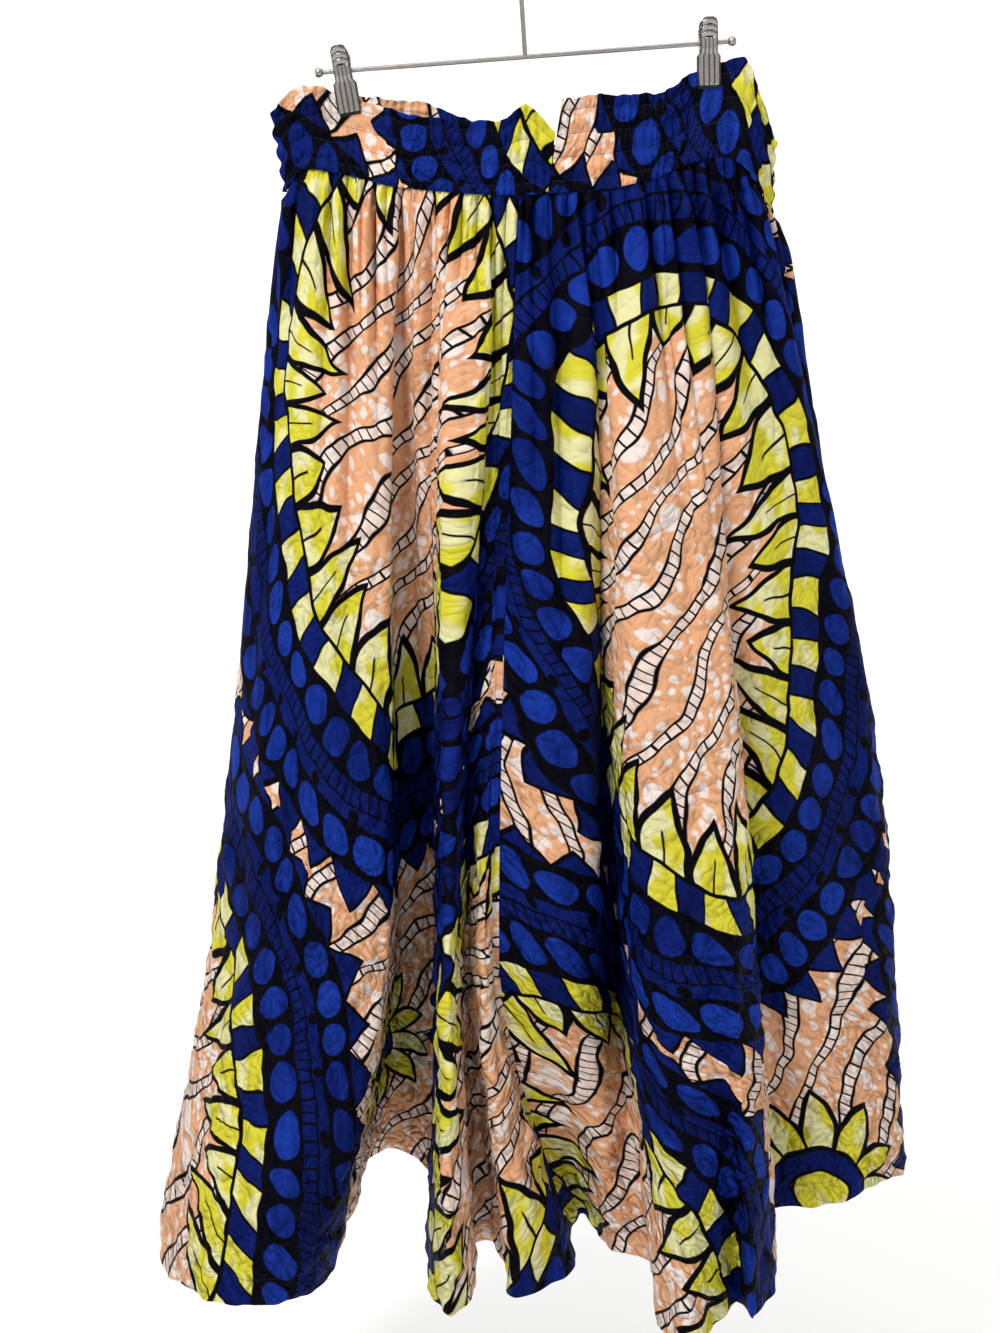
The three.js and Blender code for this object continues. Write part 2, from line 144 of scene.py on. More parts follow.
# Heights above the bar's middle line: how far a jaw stands out, and its half width.
JAW_SIDE = (
    (-32, -30, -20, -10.5, -8.5, -6, -4.2, 0, 4.2, 8, 12, 16, 18.2),
    (2.9, 2.75, 2.75, 2.75, 3.1, 4.3, 5.1, 5.3, 5.3, 6.6, 8.2, 10.2, 11.6),
)
JAW_HALF = (
    (-32, -31.2, -30.2, -10, -7.5, 4, 6, 15, 16.8, 17.8, 18.2),
    (8.6, 9.2, 9.4, 9.3, 7.0, 6.7, 6.4, 6.2, 5.4, 4.0, 2.8),
)
# side, place along the bar, lean
CLIPS = [("left", -146, math.radians(5.4)), ("right", 146, math.radians(-1.9))]

# ---- stage ----
FLOOR = -1.5
COVE_RADIUS = 9
COVE_HEIGHT = 4
COVE_BEND = 3.6  # radius of the bend from the floor to its edge
SKY = 0.66  # strength of the white light from all round
FLOOR_TONE = (0.92, 0.92, 0.915)
CAMERA_AT = (-0.0132, -1.4, -0.2469)
CAMERA_PITCH = math.radians(14)
CAMERA_LENS = 44.83
# name, place, aim, size, power
LIGHTS = [
    ("key", (-1.05, -1.55, 1.35), (0, 0, -0.3), 0.7, 47),
    ("fill", (2.4, -2.2, 0.3), (0, 0, -0.6), 2.0, 3),
    ("overhead", (0, 0.6, 3.6), (0, 0.2, -1.5), 5.0, 90),
    ("wash", (0, 4.2, 2.4), (0, 8, -0.6), 3.0, 165),
    ("back key", (1.9, 2.3, 1.3), (0, 0, -0.5), 0.9, 26),
]

# Rows of the waistband from its front seam to the left, round the back and home: the edge
# sewn to the skirt, then the free top edge.
# name, x low, y low, z low, x top, y top, z top
BAND = [
    ("seam, left end", 18, -24, -73, 24, -21, -27),
    ("folded corner", 0, -26, -74, 0, -22, -6),
    ("front dip", -24, -26, -74, -22, -22, -18),
    ("front sag", -70, -25, -71, -68, -20, -16),
    ("before left clip", -108, -20, -67, -106, -9, -8),
    ("left clip, inner edge", -124, -17, -63, -124, -1, -3),
    ("left clip, outer edge", -156, -15, -56, -156, -1, 6),
    ("left shoulder", -170, -16, -54, -170, -8, 11),
    ("left crease", -180, -11, -57, -184, -7, 8),
    ("left loop", -193, 2, -71, -202, 2, -12),
    ("left loop, back", -182, 17, -62, -186, 11, 6),
    ("left clip, back outer", -156, 12, -56, -156, 1, 6),
    ("left clip, back inner", -124, 13, -61, -124, 1, 2),
    ("back left", -95, 17, -66, -95, 15, 1),
    ("back sag", 15, 19, -93, 15, 18, -33),
    ("back right", 95, 17, -72, 95, 14, -10),
    ("right clip, back inner", 133, 13, -52, 133, 1, 20),
    ("right clip, back outer", 160, 11, -43, 160, 1, 29),
    ("right loop, back", 182, 20, -52, 184, 15, 18),
    ("right loop", 202, 8, -88, 202, 7, -32),
    ("right crease", 185, -7, -66, 184, -5, 8),
    ("right shoulder", 172, -15, -50, 172, -9, 31),
    ("right clip, outer edge", 160, -12, -44, 160, -1, 29),
    ("right clip, inner edge", 133, -14, -49, 133, -1, 20),
    ("front right", 100, -22, -62, 100, -16, 3),
    ("front right, flat", 58, -25, -70, 60, -22, 2),
    ("seam, right end", 18, -24, -73, 29, -21, -1),
]

# Lines of the skirt's cloth from the front seam to the left and round: crests, sides and
# bottoms of its folds.
# line, cloth, waist, x knee, y knee, x hem, y hem
FOLDS = [
    ("front seam", 0, 0, -21, -50, 45, -29),
    ("ridge C, side", 52, 5, -27, -60, 42, -88),
    ("ridge C, crest", 82, 9, -33, -66, 17, -116),
    ("ridge C, far crest", 108, 13, -38, -62, -6, -128),
    ("ridge C, far side", 158, 18, -45, -42, -15, -72),
    ("shallow valley", 203, 23, -51, -24, -31, -33),
    ("ridge B, near foot", 231, 27, -56, -40, -46, -44),
    ("ridge B, near side", 290, 34, -58, -68, -42, -116),
    ("ridge B, crest", 339, 41, -64, -86, -61, -162),
    ("ridge B, far side", 394, 51, -71, -62, -81, -118),
    ("ridge B, far foot", 471, 61, -75, -14, -87, -24),
    ("deep valley, near", 589, 75, -78, 34, -104, 92),
    ("deep valley", 620, 84, -95, 46, -131, 106),
    ("deep valley, far", 646, 94, -110, 36, -148, 90),
    ("fold A, foot", 718, 99, -114, 0, -157, 18),
    ("fold A, inner side", 793, 103, -115, -40, -167, -60),
    ("fold A, edge", 831, 108, -117, -62, -173, -108),
    ("fold A, round", 875, 119, -126, -80, -187, -150),
    ("fold A, near crest", 902, 130, -142, -86, -208, -168),
    ("fold A, crest", 931, 143, -170, -90, -236, -181),
    ("fold A, crease", 955, 156, -195, -88, -260, -178),
    ("fold A, far side", 988, 174, -225, -74, -284, -158),
    ("left edge", 1053, 197, -263, -35, -320, -94),
    ("left side", 1125, 216, -274, 5, -334, -16),
    ("left side, back", 1195, 233, -270, 40, -328, 56),
    ("back crest 1", 1265, 249, -258, 78, -302, 118),
    ("back valley 1", 1310, 263, -232, 66, -268, 92),
    ("back crest 2", 1385, 286, -195, 102, -232, 165),
    ("back valley 2", 1450, 306, -165, 80, -200, 115),
    ("back crest 3", 1540, 333, -125, 118, -150, 195),
    ("back valley 3", 1600, 353, -98, 92, -118, 150),
    ("back crest 4", 1690, 379, -50, 126, -65, 215),
    ("back valley 4", 1750, 397, -15, 96, -25, 150),
    ("back crest 5", 1850, 427, 40, 130, 40, 225),
    ("back valley 5", 1935, 451, 75, 98, 75, 150),
    ("back crest 6", 2040, 481, 130, 130, 135, 228),
    ("back valley 6", 2130, 507, 165, 98, 170, 148),
    ("back crest 7", 2230, 537, 225, 128, 235, 222),
    ("back valley 7", 2310, 561, 255, 100, 265, 152),
    ("back crest 8", 2400, 586, 305, 120, 325, 205),
    ("right side, back", 2440, 599, 322, 108, 360, 165),
    ("right side", 2480, 611, 338, 92, 377, 115),
    ("right edge", 2512, 622, 344, 68, 375, 66),
    ("side panel E, far", 2581, 643, 318, 30, 352, 4),
    ("side panel E, middle", 2625, 661, 280, 10, 315, -23),
    ("side panel E, near", 2669, 678, 232, 0, 271, -31),
    ("side valley", 2705, 689, 205, 2, 236, -25),
    ("fold D, far foot", 2772, 697, 201, -45, 226, -92),
    ("fold D, far side", 2842, 705, 192, -80, 209, -160),
    ("fold D, small crest", 2883, 713, 180, -98, 190, -196),
    ("fold D, notch", 2925, 723, 165, -100, 184, -158),
    ("fold D, near crest", 2976, 735, 140, -106, 158, -199),
    ("fold D, crest", 3008, 746, 115, -108, 135, -226),
    ("fold D, round", 3046, 757, 98, -85, 116, -192),
    ("fold D, edge", 3120, 763, 92, -25, 116, -122),
    ("narrow valley", 3165, 768, 78, 15, 112, -68),
    ("ridge C, near edge", 3205, 780, 60, -50, 82, -52),
    ("ridge C, near", 3259, 816, 12, -66, 58, 8),
]


# ---- curves through the tables ----
def curve(at, values, loop=0, eased=False):
    """A column of a table as a curve through every row. Eased, it doesn't overshoot."""
    at, values = np.array(at, float), np.array(values, float)
    if loop:
        at = np.concatenate((at[-1:] - loop, at, at[:2] + loop))
        values = np.concatenate((values[-1:], values, values[:2]))
    gap = np.diff(at)
    chord = np.diff(values) / gap
    inner = meeting_slope(chord[:-1], chord[1:], gap[:-1], gap[1:], eased)
    slope = np.concatenate((chord[:1], inner, chord[-1:]))

    def value(where):
        place = np.mod(where, loop) if loop else np.asarray(where, float)
        i = np.clip(np.searchsorted(at, place, side="right") - 1, 0, len(gap) - 1)
        share = (place - at[i]) / gap[i]
        return hermite(share, values[i], values[i + 1], slope[i] * gap[i], slope[i + 1] * gap[i])

    return value


def meeting_slope(left, right, before, after, eased):
    """Slope at a row between the chords on its left and right."""
    if not eased:
        return (left * after + right * before) / (before + after)
    one_way = left * right > 0
    near, far = 2 * after + before, after + 2 * before
    whole = near / np.where(one_way, left, 1) + far / np.where(one_way, right, 1)
    return np.where(one_way, (near + far) / whole, 0)


def hermite(s, a, b, slope_a, slope_b):
    cube = 2 * (a - b) + slope_a + slope_b
    return a + s * slope_a + s * s * (3 * (b - a) - 2 * slope_a - slope_b) + s**3 * cube


def column(table, k):
    return [row[k] for row in table]


def smooth(x, start=0.0, end=1.0):
    """0 up to the start and 1 from the end on, with a soft rise between."""
    s = np.clip((x - start) / (end - start), 0, 1)
    return s * s * (3 - 2 * s)


BAND_PLACES = [0.0]
for before, row in zip(BAND, BAND[1:]):
    BAND_PLACES.append(BAND_PLACES[-1] + math.hypot(row[1] - before[1], row[2] - before[2]))
WAIST = BAND_PLACES[-1]
LOW = [curve(BAND_PLACES, column(BAND, k), eased=True) for k in (1, 2, 3)]
TOP = [curve(BAND_PLACES, column(BAND, k), eased=True) for k in (4, 5, 6)]

CLOTH_PLACES = column(FOLDS, 1)
WAIST_AT = curve(CLOTH_PLACES + [LOOP], column(FOLDS, 2) + [WAIST], eased=True)
KNEE_AT = [curve(CLOTH_PLACES, column(FOLDS, k), LOOP) for k in (3, 4)]
HEM_AT = [curve(CLOTH_PLACES, column(FOLDS, k), LOOP) for k in (5, 6)]


def band_point(place, share):
    """Middle surface of the waistband, as x, y and z, at a share of its height."""
    ease = smooth(share, 0, PINCH)
    shares = (share, ease, share)
    lines = zip(LOW, TOP, shares)
    return np.stack([low(place) * (1 - s) + top(place) * s for low, top, s in lines])


def band_place(cloth):
    return np.mod(SKIRT_SEAM + WAIST_AT(np.mod(cloth, LOOP)), WAIST)


def skirt_point(cloth, share):
    """Middle surface of the skirt at a place round the cloth and a share of its length."""
    start = band_point(band_place(cloth), np.zeros_like(cloth))
    rest = 1 - KNEE
    flat = []
    for top, knee_at, hem_at in zip(start, KNEE_AT, HEM_AT):
        knee, hem = knee_at(cloth), hem_at(cloth)
        to_knee, to_hem = (knee - top) / KNEE, (hem - knee) / rest
        bend = meeting_slope(to_knee, to_hem, KNEE, rest, True)
        upper = hermite(share / KNEE, top, knee, to_knee * KNEE, bend * KNEE)
        lower = hermite((share - KNEE) / rest, knee, hem, bend * rest, to_hem * rest)
        flat.append(np.where(share < KNEE, upper, lower))
    sideways = np.hypot(flat[0] - start[0], flat[1] - start[1])
    fall = np.sqrt(np.maximum(0, (share * DROP) ** 2 - sideways**2))
    return np.stack([flat[0], flat[1], start[2] - SEAM_GAP - fall])


def outward(point, place, share, nearby=0.5):
    """Unit vector in plan that points out of the cloth's middle surface."""
    run = point(place + nearby, share) - point(place - nearby, share)
    length = np.maximum(np.hypot(run[0], run[1]), 1e-9)
    return -run[1] / length, run[0] / length


# ---- gathers and creases ----
def wander(x):
    """An uneven number from about -1 to 1 along x. A number added to x starts it elsewhere."""
    return (np.sin(x) + 0.6 * np.sin(2.31 * x + 1.1) + 0.4 * np.sin(4.17 * x + 2.3)) / 1.6


# Gathers below the waistband: spacing along the band, depth, where they are full and where
# they have run out below it, and how uneven their ends are.
# name, spacing, depth, full, end, uneven
GATHERS = [
    ("pleats at the seam", 11.5, 5.0, 6, 160, 60),
    ("soft pleats", 22, 7.0, 34, 340, 120),
    ("long pleats", 47, 8.0, 130, 580, 150),
    ("loose folds", 90, 7.0, 280, 900, 160),
]
GATHER_DRIFT = 0.34  # share of its spacing by which a gather wanders
GATHER_CREST = 0.8  # below 1, crests are wide and valleys narrow
GATHER_UNEVEN = 0.35  # share by which gathers of one row differ in depth
SHORTEST_FADE = 20  # least length over which a gather runs out


def gathers(cloth, down):
    """How far the gathers stand out of the cloth."""
    waist = WAIST_AT(np.mod(cloth, LOOP))
    out = np.zeros_like(down)
    for number, (_, spacing, depth, full, end, uneven) in enumerate(GATHERS):
        turn = waist / spacing + GATHER_DRIFT * wander(waist / (1.9 * spacing) + 2.1 * number)
        crest = 2 * np.abs(np.sin(math.pi * turn)) ** GATHER_CREST - 1
        reach = end + uneven * wander(waist / (0.8 * spacing) + 5.3 * number)
        run_out = smooth(down, full, np.maximum(reach, full + SHORTEST_FADE))
        size = 1 + GATHER_UNEVEN * wander(waist / (1.3 * spacing) + 3.7 * number)
        out += depth * size * crest * smooth(down, 0, full) * (1 - run_out)
    return out


# Creases given one by one: where each starts, as a place round the cloth and a depth below
# the waist, where it ends, how far it stands out (a trough is negative) and how wide it is.
# cloth, down, to cloth, to down, height, width
CREASES = [
    (95, 620, 60, 905, 2.6, 11),
    (150, 480, 178, 760, -2.4, 13),
    (258, 560, 300, 830, -2.2, 10),
    (352, 610, 330, 900, 2.4, 9),
    (402, 700, 455, 905, -2.6, 12),
    (760, 300, 742, 560, 2.2, 11),
    (800, 720, 775, 925, -2.8, 11),
    (862, 250, 845, 520, -2.4, 14),
    (838, 560, 868, 800, 2.6, 10),
    (905, 640, 915, 930, 2.8, 9),
    (948, 380, 962, 700, -3.2, 10),
    (962, 690, 944, 930, -3.6, 9),
    (1010, 300, 985, 560, 2.4, 13),
    (1002, 600, 1040, 860, -2.6, 12),
    (870, 780, 1030, 700, 1.8, 9),
    (855, 842, 1015, 778, -1.9, 8),
    (880, 905, 1050, 838, 1.7, 9),
    (1060, 800, 940, 880, -1.6, 8),
    (820, 690, 905, 735, 1.5, 8),
    (1085, 420, 1100, 700, 2.4, 14),
    (1130, 520, 1118, 860, -2.8, 13),
    (1180, 300, 1205, 620, 2.2, 15),
    (1235, 560, 1222, 900, -2.4, 12),
    (1330, 250, 1345, 560, -2.2, 15),
    (1345, 640, 1320, 905, 2.4, 11),
    (1420, 380, 1402, 700, 2.6, 14),
    (1500, 520, 1530, 840, -2.6, 12),
    (1575, 280, 1560, 600, 2.2, 13),
    (1640, 610, 1665, 900, -2.2, 11),
    (1725, 330, 1740, 640, 2.6, 13),
    (1800, 560, 1778, 890, -2.8, 13),
    (1890, 260, 1902, 560, 2.2, 15),
    (1960, 600, 1990, 905, -2.4, 12),
    (2085, 350, 2070, 660, -2.2, 13),
    (2110, 690, 2150, 920, 2.4, 11),
    (2190, 420, 2205, 740, 2.6, 14),
    (2275, 560, 2255, 880, -2.6, 12),
    (2360, 300, 2375, 640, 2.2, 14),
    (2425, 640, 2440, 900, -2.6, 11),
    (2535, 380, 2555, 700, 2.4, 14),
    (2590, 250, 2602, 560, -2.4, 15),
    (2612, 600, 2590, 890, -2.8, 13),
    (2650, 330, 2640, 640, 2.0, 12),
    (2560, 800, 2690, 865, 1.7, 9),
    (2745, 520, 2760, 800, -2.4, 12),
    (2830, 300, 2812, 600, 2.4, 12),
    (2862, 640, 2880, 900, -2.8, 10),
    (2905, 260, 2918, 540, -2.2, 13),
    (2950, 560, 2935, 760, 2.2, 10),
    (2990, 700, 3012, 925, -2.6, 10),
    (2900, 820, 3060, 760, 1.7, 9),
    (3040, 340, 3052, 620, -2.2, 12),
    (3085, 640, 3070, 900, 2.4, 11),
    (3190, 420, 3180, 700, 2.2, 11),
    (3225, 600, 3248, 880, -2.6, 11),
    (3270, 260, 3262, 520, -2.0, 12),
    (30, 300, 18, 560, 2.2, 12),
    (190, 250, 205, 480, 2.0, 12),
    (520, 330, 508, 640, -2.2, 13),
    (700, 420, 690, 760, 2.2, 12),
]
CREASE_BOW = 0.06  # how far a crease bends aside, as a share of its length
CREASE_ENDS = (0.25, 0.35)  # shares of its length over which it rises and dies away


def creases(cloth, down):
    """How far the listed creases stand out of the cloth."""
    out = np.zeros_like(down)
    for at, top, to_at, foot, height, width in CREASES:
        run = np.array([to_at - at, foot - top], float)
        length = math.hypot(*run)
        run /= length
        aside = np.mod(cloth - at + LOOP / 2, LOOP) - LOOP / 2
        along = (aside * run[0] + (down - top) * run[1]) / length
        across = aside * run[1] - (down - top) * run[0]
        bow = CREASE_BOW * length * np.sin(math.pi * along)
        body = np.exp(-(((across - bow) / width) ** 2))
        rise, fall = CREASE_ENDS
        out += height * body * smooth(along, 0, rise) * smooth(1 - along, 0, fall)
    return out


# Rows of dents in crushed cloth: width, lean in radians
DENTS = [(61, 0.5), (43, -0.35), (29, 0.9), (37, -1.2)]
DENTS_ABOVE = 0.35  # share of their depth that they have in the upper part of the skirt
DENTS_GROW = (300, 720)  # depths below the waist between which they grow


def crumple(cloth, down):
    """Small uneven dents, deepest towards the hem, where the cloth has been crushed."""
    wave = np.zeros_like(down)
    for number, (width, lean) in enumerate(DENTS):
        across = cloth * math.cos(lean) + down * math.sin(lean)
        along = down * math.cos(lean) - cloth * math.sin(lean)
        bend = across + 9 * wander(along / 46 + number)
        row = wander(bend / width * 2 * math.pi / 1.7 + 1.3 * number)
        wave += row * wander(along / 31 + 4.1 * number)
    return wave * (DENTS_ABOVE + (1 - DENTS_ABOVE) * smooth(down, *DENTS_GROW))


# ---- sheets of cloth ----
def settings():
    return bpy.context.scene.skirt_sizes


def colours():
    return bpy.context.scene.print_colours


def spread(start, end, step):
    """Even places from start to end, about a step apart."""
    return np.linspace(start, end, max(2, round((end - start) / step) + 1))


def sheet(name, points, uv, wall, material):
    """A cloth piece with a given wall through a grid of points in garment millimetres."""
    rows, columns = points.shape[1:]
    index = np.arange(rows * columns).reshape(rows, columns)
    corners = (index[:-1, :-1], index[:-1, 1:], index[1:, 1:], index[1:, :-1])
    faces = np.stack(corners, -1).reshape(-1, 4)
    places = (points.reshape(3, -1).T + CLOTH_ORIGIN) * MM
    mesh = bpy.data.meshes.new(name)
    mesh.from_pydata(places.tolist(), [], faces.tolist())
    layer = mesh.uv_layers.new(name=CLOTH_MAP)
    flat = (uv.reshape(2, -1).T * MM)[faces.ravel()]
    layer.uv.foreach_set("vector", flat.astype(np.float32).ravel())
    mesh.materials.append(material)
    piece = linked(name, mesh)
    apply(piece, "SOLIDIFY", thickness=wall, offset=0)
    bpy.ops.object.shade_smooth_by_angle(angle=SMOOTH_CLOTH)
    return piece


def linked(name, data):
    """A new object in the scene."""
    made = bpy.data.objects.new(name, data)
    bpy.context.scene.collection.objects.link(made)
    return made


def primitive(name, add, **values):
    """A new primitive, with its place and turn in its mesh."""
    bpy.ops.object.select_all(action="DESELECT")
    add(**values)
    made = bpy.context.object
    made.name = name
    bpy.ops.object.transform_apply()
    return made


def alone(piece):
    """Selects one object and nothing else."""
    bpy.ops.object.select_all(action="DESELECT")
    piece.select_set(True)
    bpy.context.view_layer.objects.active = piece


def apply(piece, kind, **values):
    """Adds a modifier with the given values and applies it."""
    alone(piece)
    added = piece.modifiers.new(kind.lower(), kind)
    for name, value in values.items():
        setattr(added, name, value)
    bpy.ops.object.modifier_apply(modifier=added.name)


def panel_sheet(name, start, end, cut_waist, shift, material):
    """One skirt panel between two places round the cloth, with its gathers and creases."""
    cloth = spread(start + SEAM_GAP / 2, end - SEAM_GAP / 2, PANEL_COLUMN)[None, :]
    down = spread(0, DROP, PANEL_ROW)[:, None]
    cloth, down = np.broadcast_arrays(cloth, down)
    points = skirt_point(cloth, down / DROP)
    uv = flat_places(points, down, cut_waist, shift)
    sizes = settings()
    out = sizes.gather_depth * gathers(cloth, down)
    out += sizes.crease_depth * creases(cloth, down) * smooth(down, 0, 60)
    out += sizes.crumple_depth / MM * crumple(cloth, down) * smooth(down, 0, 120)
    out += HEM_FLUTTER * wander(cloth / 21 + 0.7) * smooth(down, DROP - 70, DROP)
    held = np.exp(-((distance_to_seams(cloth) / SEAM_REACH) ** 2))
    out *= 1 - SEAM_HOLD * held * smooth(down, 0, 30)
    x, y = outward(skirt_point, cloth, down / DROP)
    rise = HEM_RISE * wander(cloth / 13) * smooth(down, DROP - 40, DROP)
    points = points + np.stack([x * out, y * out, rise])
    return sheet(name, points, uv, sizes.wall, material)


def flat_places(points, down, cut_waist, shift):
    """Where each point lay on the flat panel, which flares towards the hem."""
    step = np.linalg.norm(np.diff(points, axis=2), axis=0)
    run = np.concatenate((np.zeros((len(step), 1)), np.cumsum(step, axis=1)), axis=1)
    width = cut_waist + (CUT_HEM - cut_waist) * (down / DROP) ** FLARE
    return np.stack([(run / run[:, -1:] - 0.5) * width + shift[0], shift[1] - down])


def distance_to_seams(cloth):
    """Distance round the cloth to the nearer of the two seams."""
    aside = np.mod(cloth, PANEL)
    return np.minimum(aside, PANEL - aside)


def band_sheet(name, shift, material):
    """The waistband, shirred by rows of elastic stitching and pinched flat in the clips."""
    sizes = settings()
    place = spread(SEAM_GAP / 2, WAIST - SEAM_GAP / 2, BAND_COLUMN)[None, :]
    share = spread(0, 1, BAND_ROW / BAND_HEIGHT)[:, None]
    place, share = np.broadcast_arrays(place, share)
    up = share * BAND_HEIGHT
    puff = 1 - np.abs(np.cos(math.pi * (up - STITCH_FIRST) / STITCH_SPACING)) ** 3
    turn = place / PUCKER + 0.5 * wander(place / 15) + 0.22 * wander(up / 7 + place / 60)
    fine = np.sin(2 * math.pi * turn) * (1 + 0.4 * wander(place / 23 + 1.7))
    wide = wander(place / 8.5 + 0.25 * wander(up / 16))
    out = ROLL * puff + (PUCKER_DEPTH + PUCKER_SWELL * puff) * fine
    out += LUMP * wide * (0.4 + 0.6 * puff)
    loose = 1 - clip_grip(place, share)
    out *= sizes.gather_depth * loose
    x, y = outward(band_point, place, share)
    rise = EDGE_RISE * wander(place / 6.5) * smooth(share, 0.8, 1.0) * loose
    points = band_point(place, share) + np.stack([x * out, y * out, rise])
    uv = np.stack([BAND_STRETCH * place + shift[0], shift[1] + up])
    return sheet(name, points, uv, sizes.wall, material)


def clip_grip(place, share):
    """1 where a clip holds the band flat, and 0 away from it."""
    held = np.zeros_like(place)
    marks = [at for at, row in zip(BAND_PLACES, BAND) if "clip," in row[0]]
    for one, other in zip(marks[::2], marks[1::2]):
        middle, half = (one + other) / 2, abs(other - one) / 2
        loose = smooth(np.abs(place - middle), half - 4, half + 6)
        held = np.maximum(held, 1 - loose)
    return held * smooth(share, 0.1, 0.45)


# ---- arithmetic as shader nodes ----
class Sum:
    """A number in a node tree. Arithmetic on it adds Math nodes."""

    def __init__(self, tree, socket):
        self.tree, self.socket = tree, socket

    def do(self, operation, *others, clamp=False):
        made = node(self.tree, "ShaderNodeMath", operation=operation, use_clamp=clamp)
        for entry, value in zip(made.inputs, (self, *others)):
            feed(self.tree, entry, value)
        return Sum(self.tree, made.outputs[0])

    def __add__(self, other):
        return self.do("ADD", other)

    def __sub__(self, other):
        return self.do("SUBTRACT", other)

    def __mul__(self, other):
        return self.do("MULTIPLY", other)

    def __truediv__(self, other):
        return self.do("DIVIDE", other)

    def __abs__(self):
        return self.do("ABSOLUTE")

    def part(self):
        """What is left past the last whole number."""
        return self.do("FRACT")

    def below(self, limit, soft=None):
        """1 where this is under the limit and 0 where it is over, with a soft edge."""
        step = 1 / (soft or LINE_SOFT)
        return (self * -1 + limit).do("MULTIPLY_ADD", step, 0.5, clamp=True)

    def either(self, other):
        return self.do("MAXIMUM", other)

    def only(self, other):
        return self.do("MINIMUM", other)


def feed(tree, entry, value):
    """Joins a node's input to a Sum or a socket, or sets it to a plain value."""
    if isinstance(value, Sum):
        tree.links.new(value.socket, entry)
    elif isinstance(value, bpy.types.NodeSocket):
        tree.links.new(value, entry)
    else:
        entry.default_value = value


def fill(tree, made, entries):
    """Joins or sets a node's inputs by name."""
    for name, value in entries.items():
        feed(tree, made.inputs[name], value)


def node(tree, kind, entries=None, **choices):
    """A new node with its choices made and its inputs filled."""
    made = tree.nodes.new(kind)
    for name, value in choices.items():
        setattr(made, name, value)
    fill(tree, made, entries or {})
    return made


def over(tree, under, top, mask):
    """One colour laid over another where the mask is 1."""
    entries = {"Factor": mask, "A": under, "B": top}
    return node(tree, "ShaderNodeMix", entries, data_type="RGBA").outputs["Result"]


def vector(tree, x, y):
    return node(tree, "ShaderNodeCombineXYZ", {"X": x, "Y": y}).outputs[0]


def across_and_up(tree, place):
    """The two numbers of a place on a flat map."""
    flat = node(tree, "ShaderNodeSeparateXYZ", {"Vector": place})
    return Sum(tree, flat.outputs["X"]), Sum(tree, flat.outputs["Y"])


def noise(tree, place, scale, detail=0.0, kind="2D"):
    """A cloudy number from 0 to 1, on a flat map or in space."""
    entries = {"Vector": place, "Scale": scale, "Detail": detail}
    made = node(tree, "ShaderNodeTexNoise", entries, noise_dimensions=kind)
    return Sum(tree, made.outputs["Fac"])


def new_group(name, entries, results):
    """An empty shader node group. Its entries and results are names with their kinds."""
    tree = bpy.data.node_groups.new(name, "ShaderNodeTree")
    for way, sockets in (("INPUT", entries), ("OUTPUT", results)):
        for label, kind in sockets.items():
            tree.interface.new_socket(label, in_out=way, socket_type=f"NodeSocket{kind}")
    given = tree.nodes.new("NodeGroupInput").outputs
    handed = tree.nodes.new("NodeGroupOutput").inputs
    return tree, given, handed


# ---- the wax print ----
# Metres of flat cloth, before PRINT_SCALE. Oval roundels stand in a half-drop repeat on an
# orange ground, with a leaf rosette in each gap. A roundel's rings are given by their distance
# out from a base oval, and a pitch is the distance from one motif of a ring to the next.
REPEAT = (0.68, 0.88)
OVAL = (0.168, 0.23)
LEAVES = (-0.098, -0.042)
BLOCKS = (-0.042, -0.014)
INNER_DISCS = (-0.014, 0.014)
LADDER = (0.014, 0.027)
DOTS = (0.027, 0.038)
OUTER_DISCS = (0.038, 0.064)
POINTS = (0.064, 0.088)
OUTLINE = 0.0032
LINE_SOFT = 0.0006
DISC_PITCH = 0.027
DISC = 0.0112
POINT_PITCH = 0.034
DOT_PITCH = 0.036
DOT = 0.0042
BAR_PITCH = 0.0072
BAR = 0.0007
BLOCK_PITCH = 0.041
BLOCK_HALF = 0.0082
LEAF_PITCH = 0.031
LEAF_HALF = 0.0125
ROSETTE = 0.074
ROSETTE_LEAVES = 12
ROSETTE_EYE = 0.42  # shares of ROSETTE
ROSETTE_CORE = 0.24
CORE_LINE = 0.0013
# scale, stretch, size of each kind of bubble
BUBBLES = [(40.0, 0.85, 0.0100), (76.0, 1.2, 0.0058), (125.0, 0.9, 0.0034)]
RIBBON_SPACING = 0.031
RIBBON = 0.0044  # half width, to the middle of its side lines
RIBBON_LINE = 0.0010
RUNG_PITCH = 0.0088


class Ring:
    """Places round a roundel in a ring between two distances out from its base oval."""

    def __init__(self, distance, turn, ring):
        self.distance, self.turn, self.out = distance, turn, sum(ring) / 2
        self.length = 2 * math.pi * (math.hypot(*OVAL) / math.sqrt(2) + self.out)

    def repeat(self, pitch):
        """Distance along the ring from the middle of the nearest of evenly spaced motifs."""
        count = round(self.length / pitch)
        return ((self.turn * count).part() - 0.5) * (self.length / count)

    def chance(self, pitch):
        """A random number from 0 to 1 for each of evenly spaced motifs."""
        tree, count = self.turn.tree, round(self.length / pitch)
        entries = {"W": (self.turn * count).do("FLOOR")}
        lot = node(tree, "ShaderNodeTexWhiteNoise", entries, noise_dimensions="1D")
        return Sum(tree, lot.outputs["Value"])

    def disc(self, pitch, size):
        """Distance outside the nearest disc's edge."""
        along, across = self.repeat(pitch), self.distance - self.out
        return (along * along + across * across).do("SQRT") - size


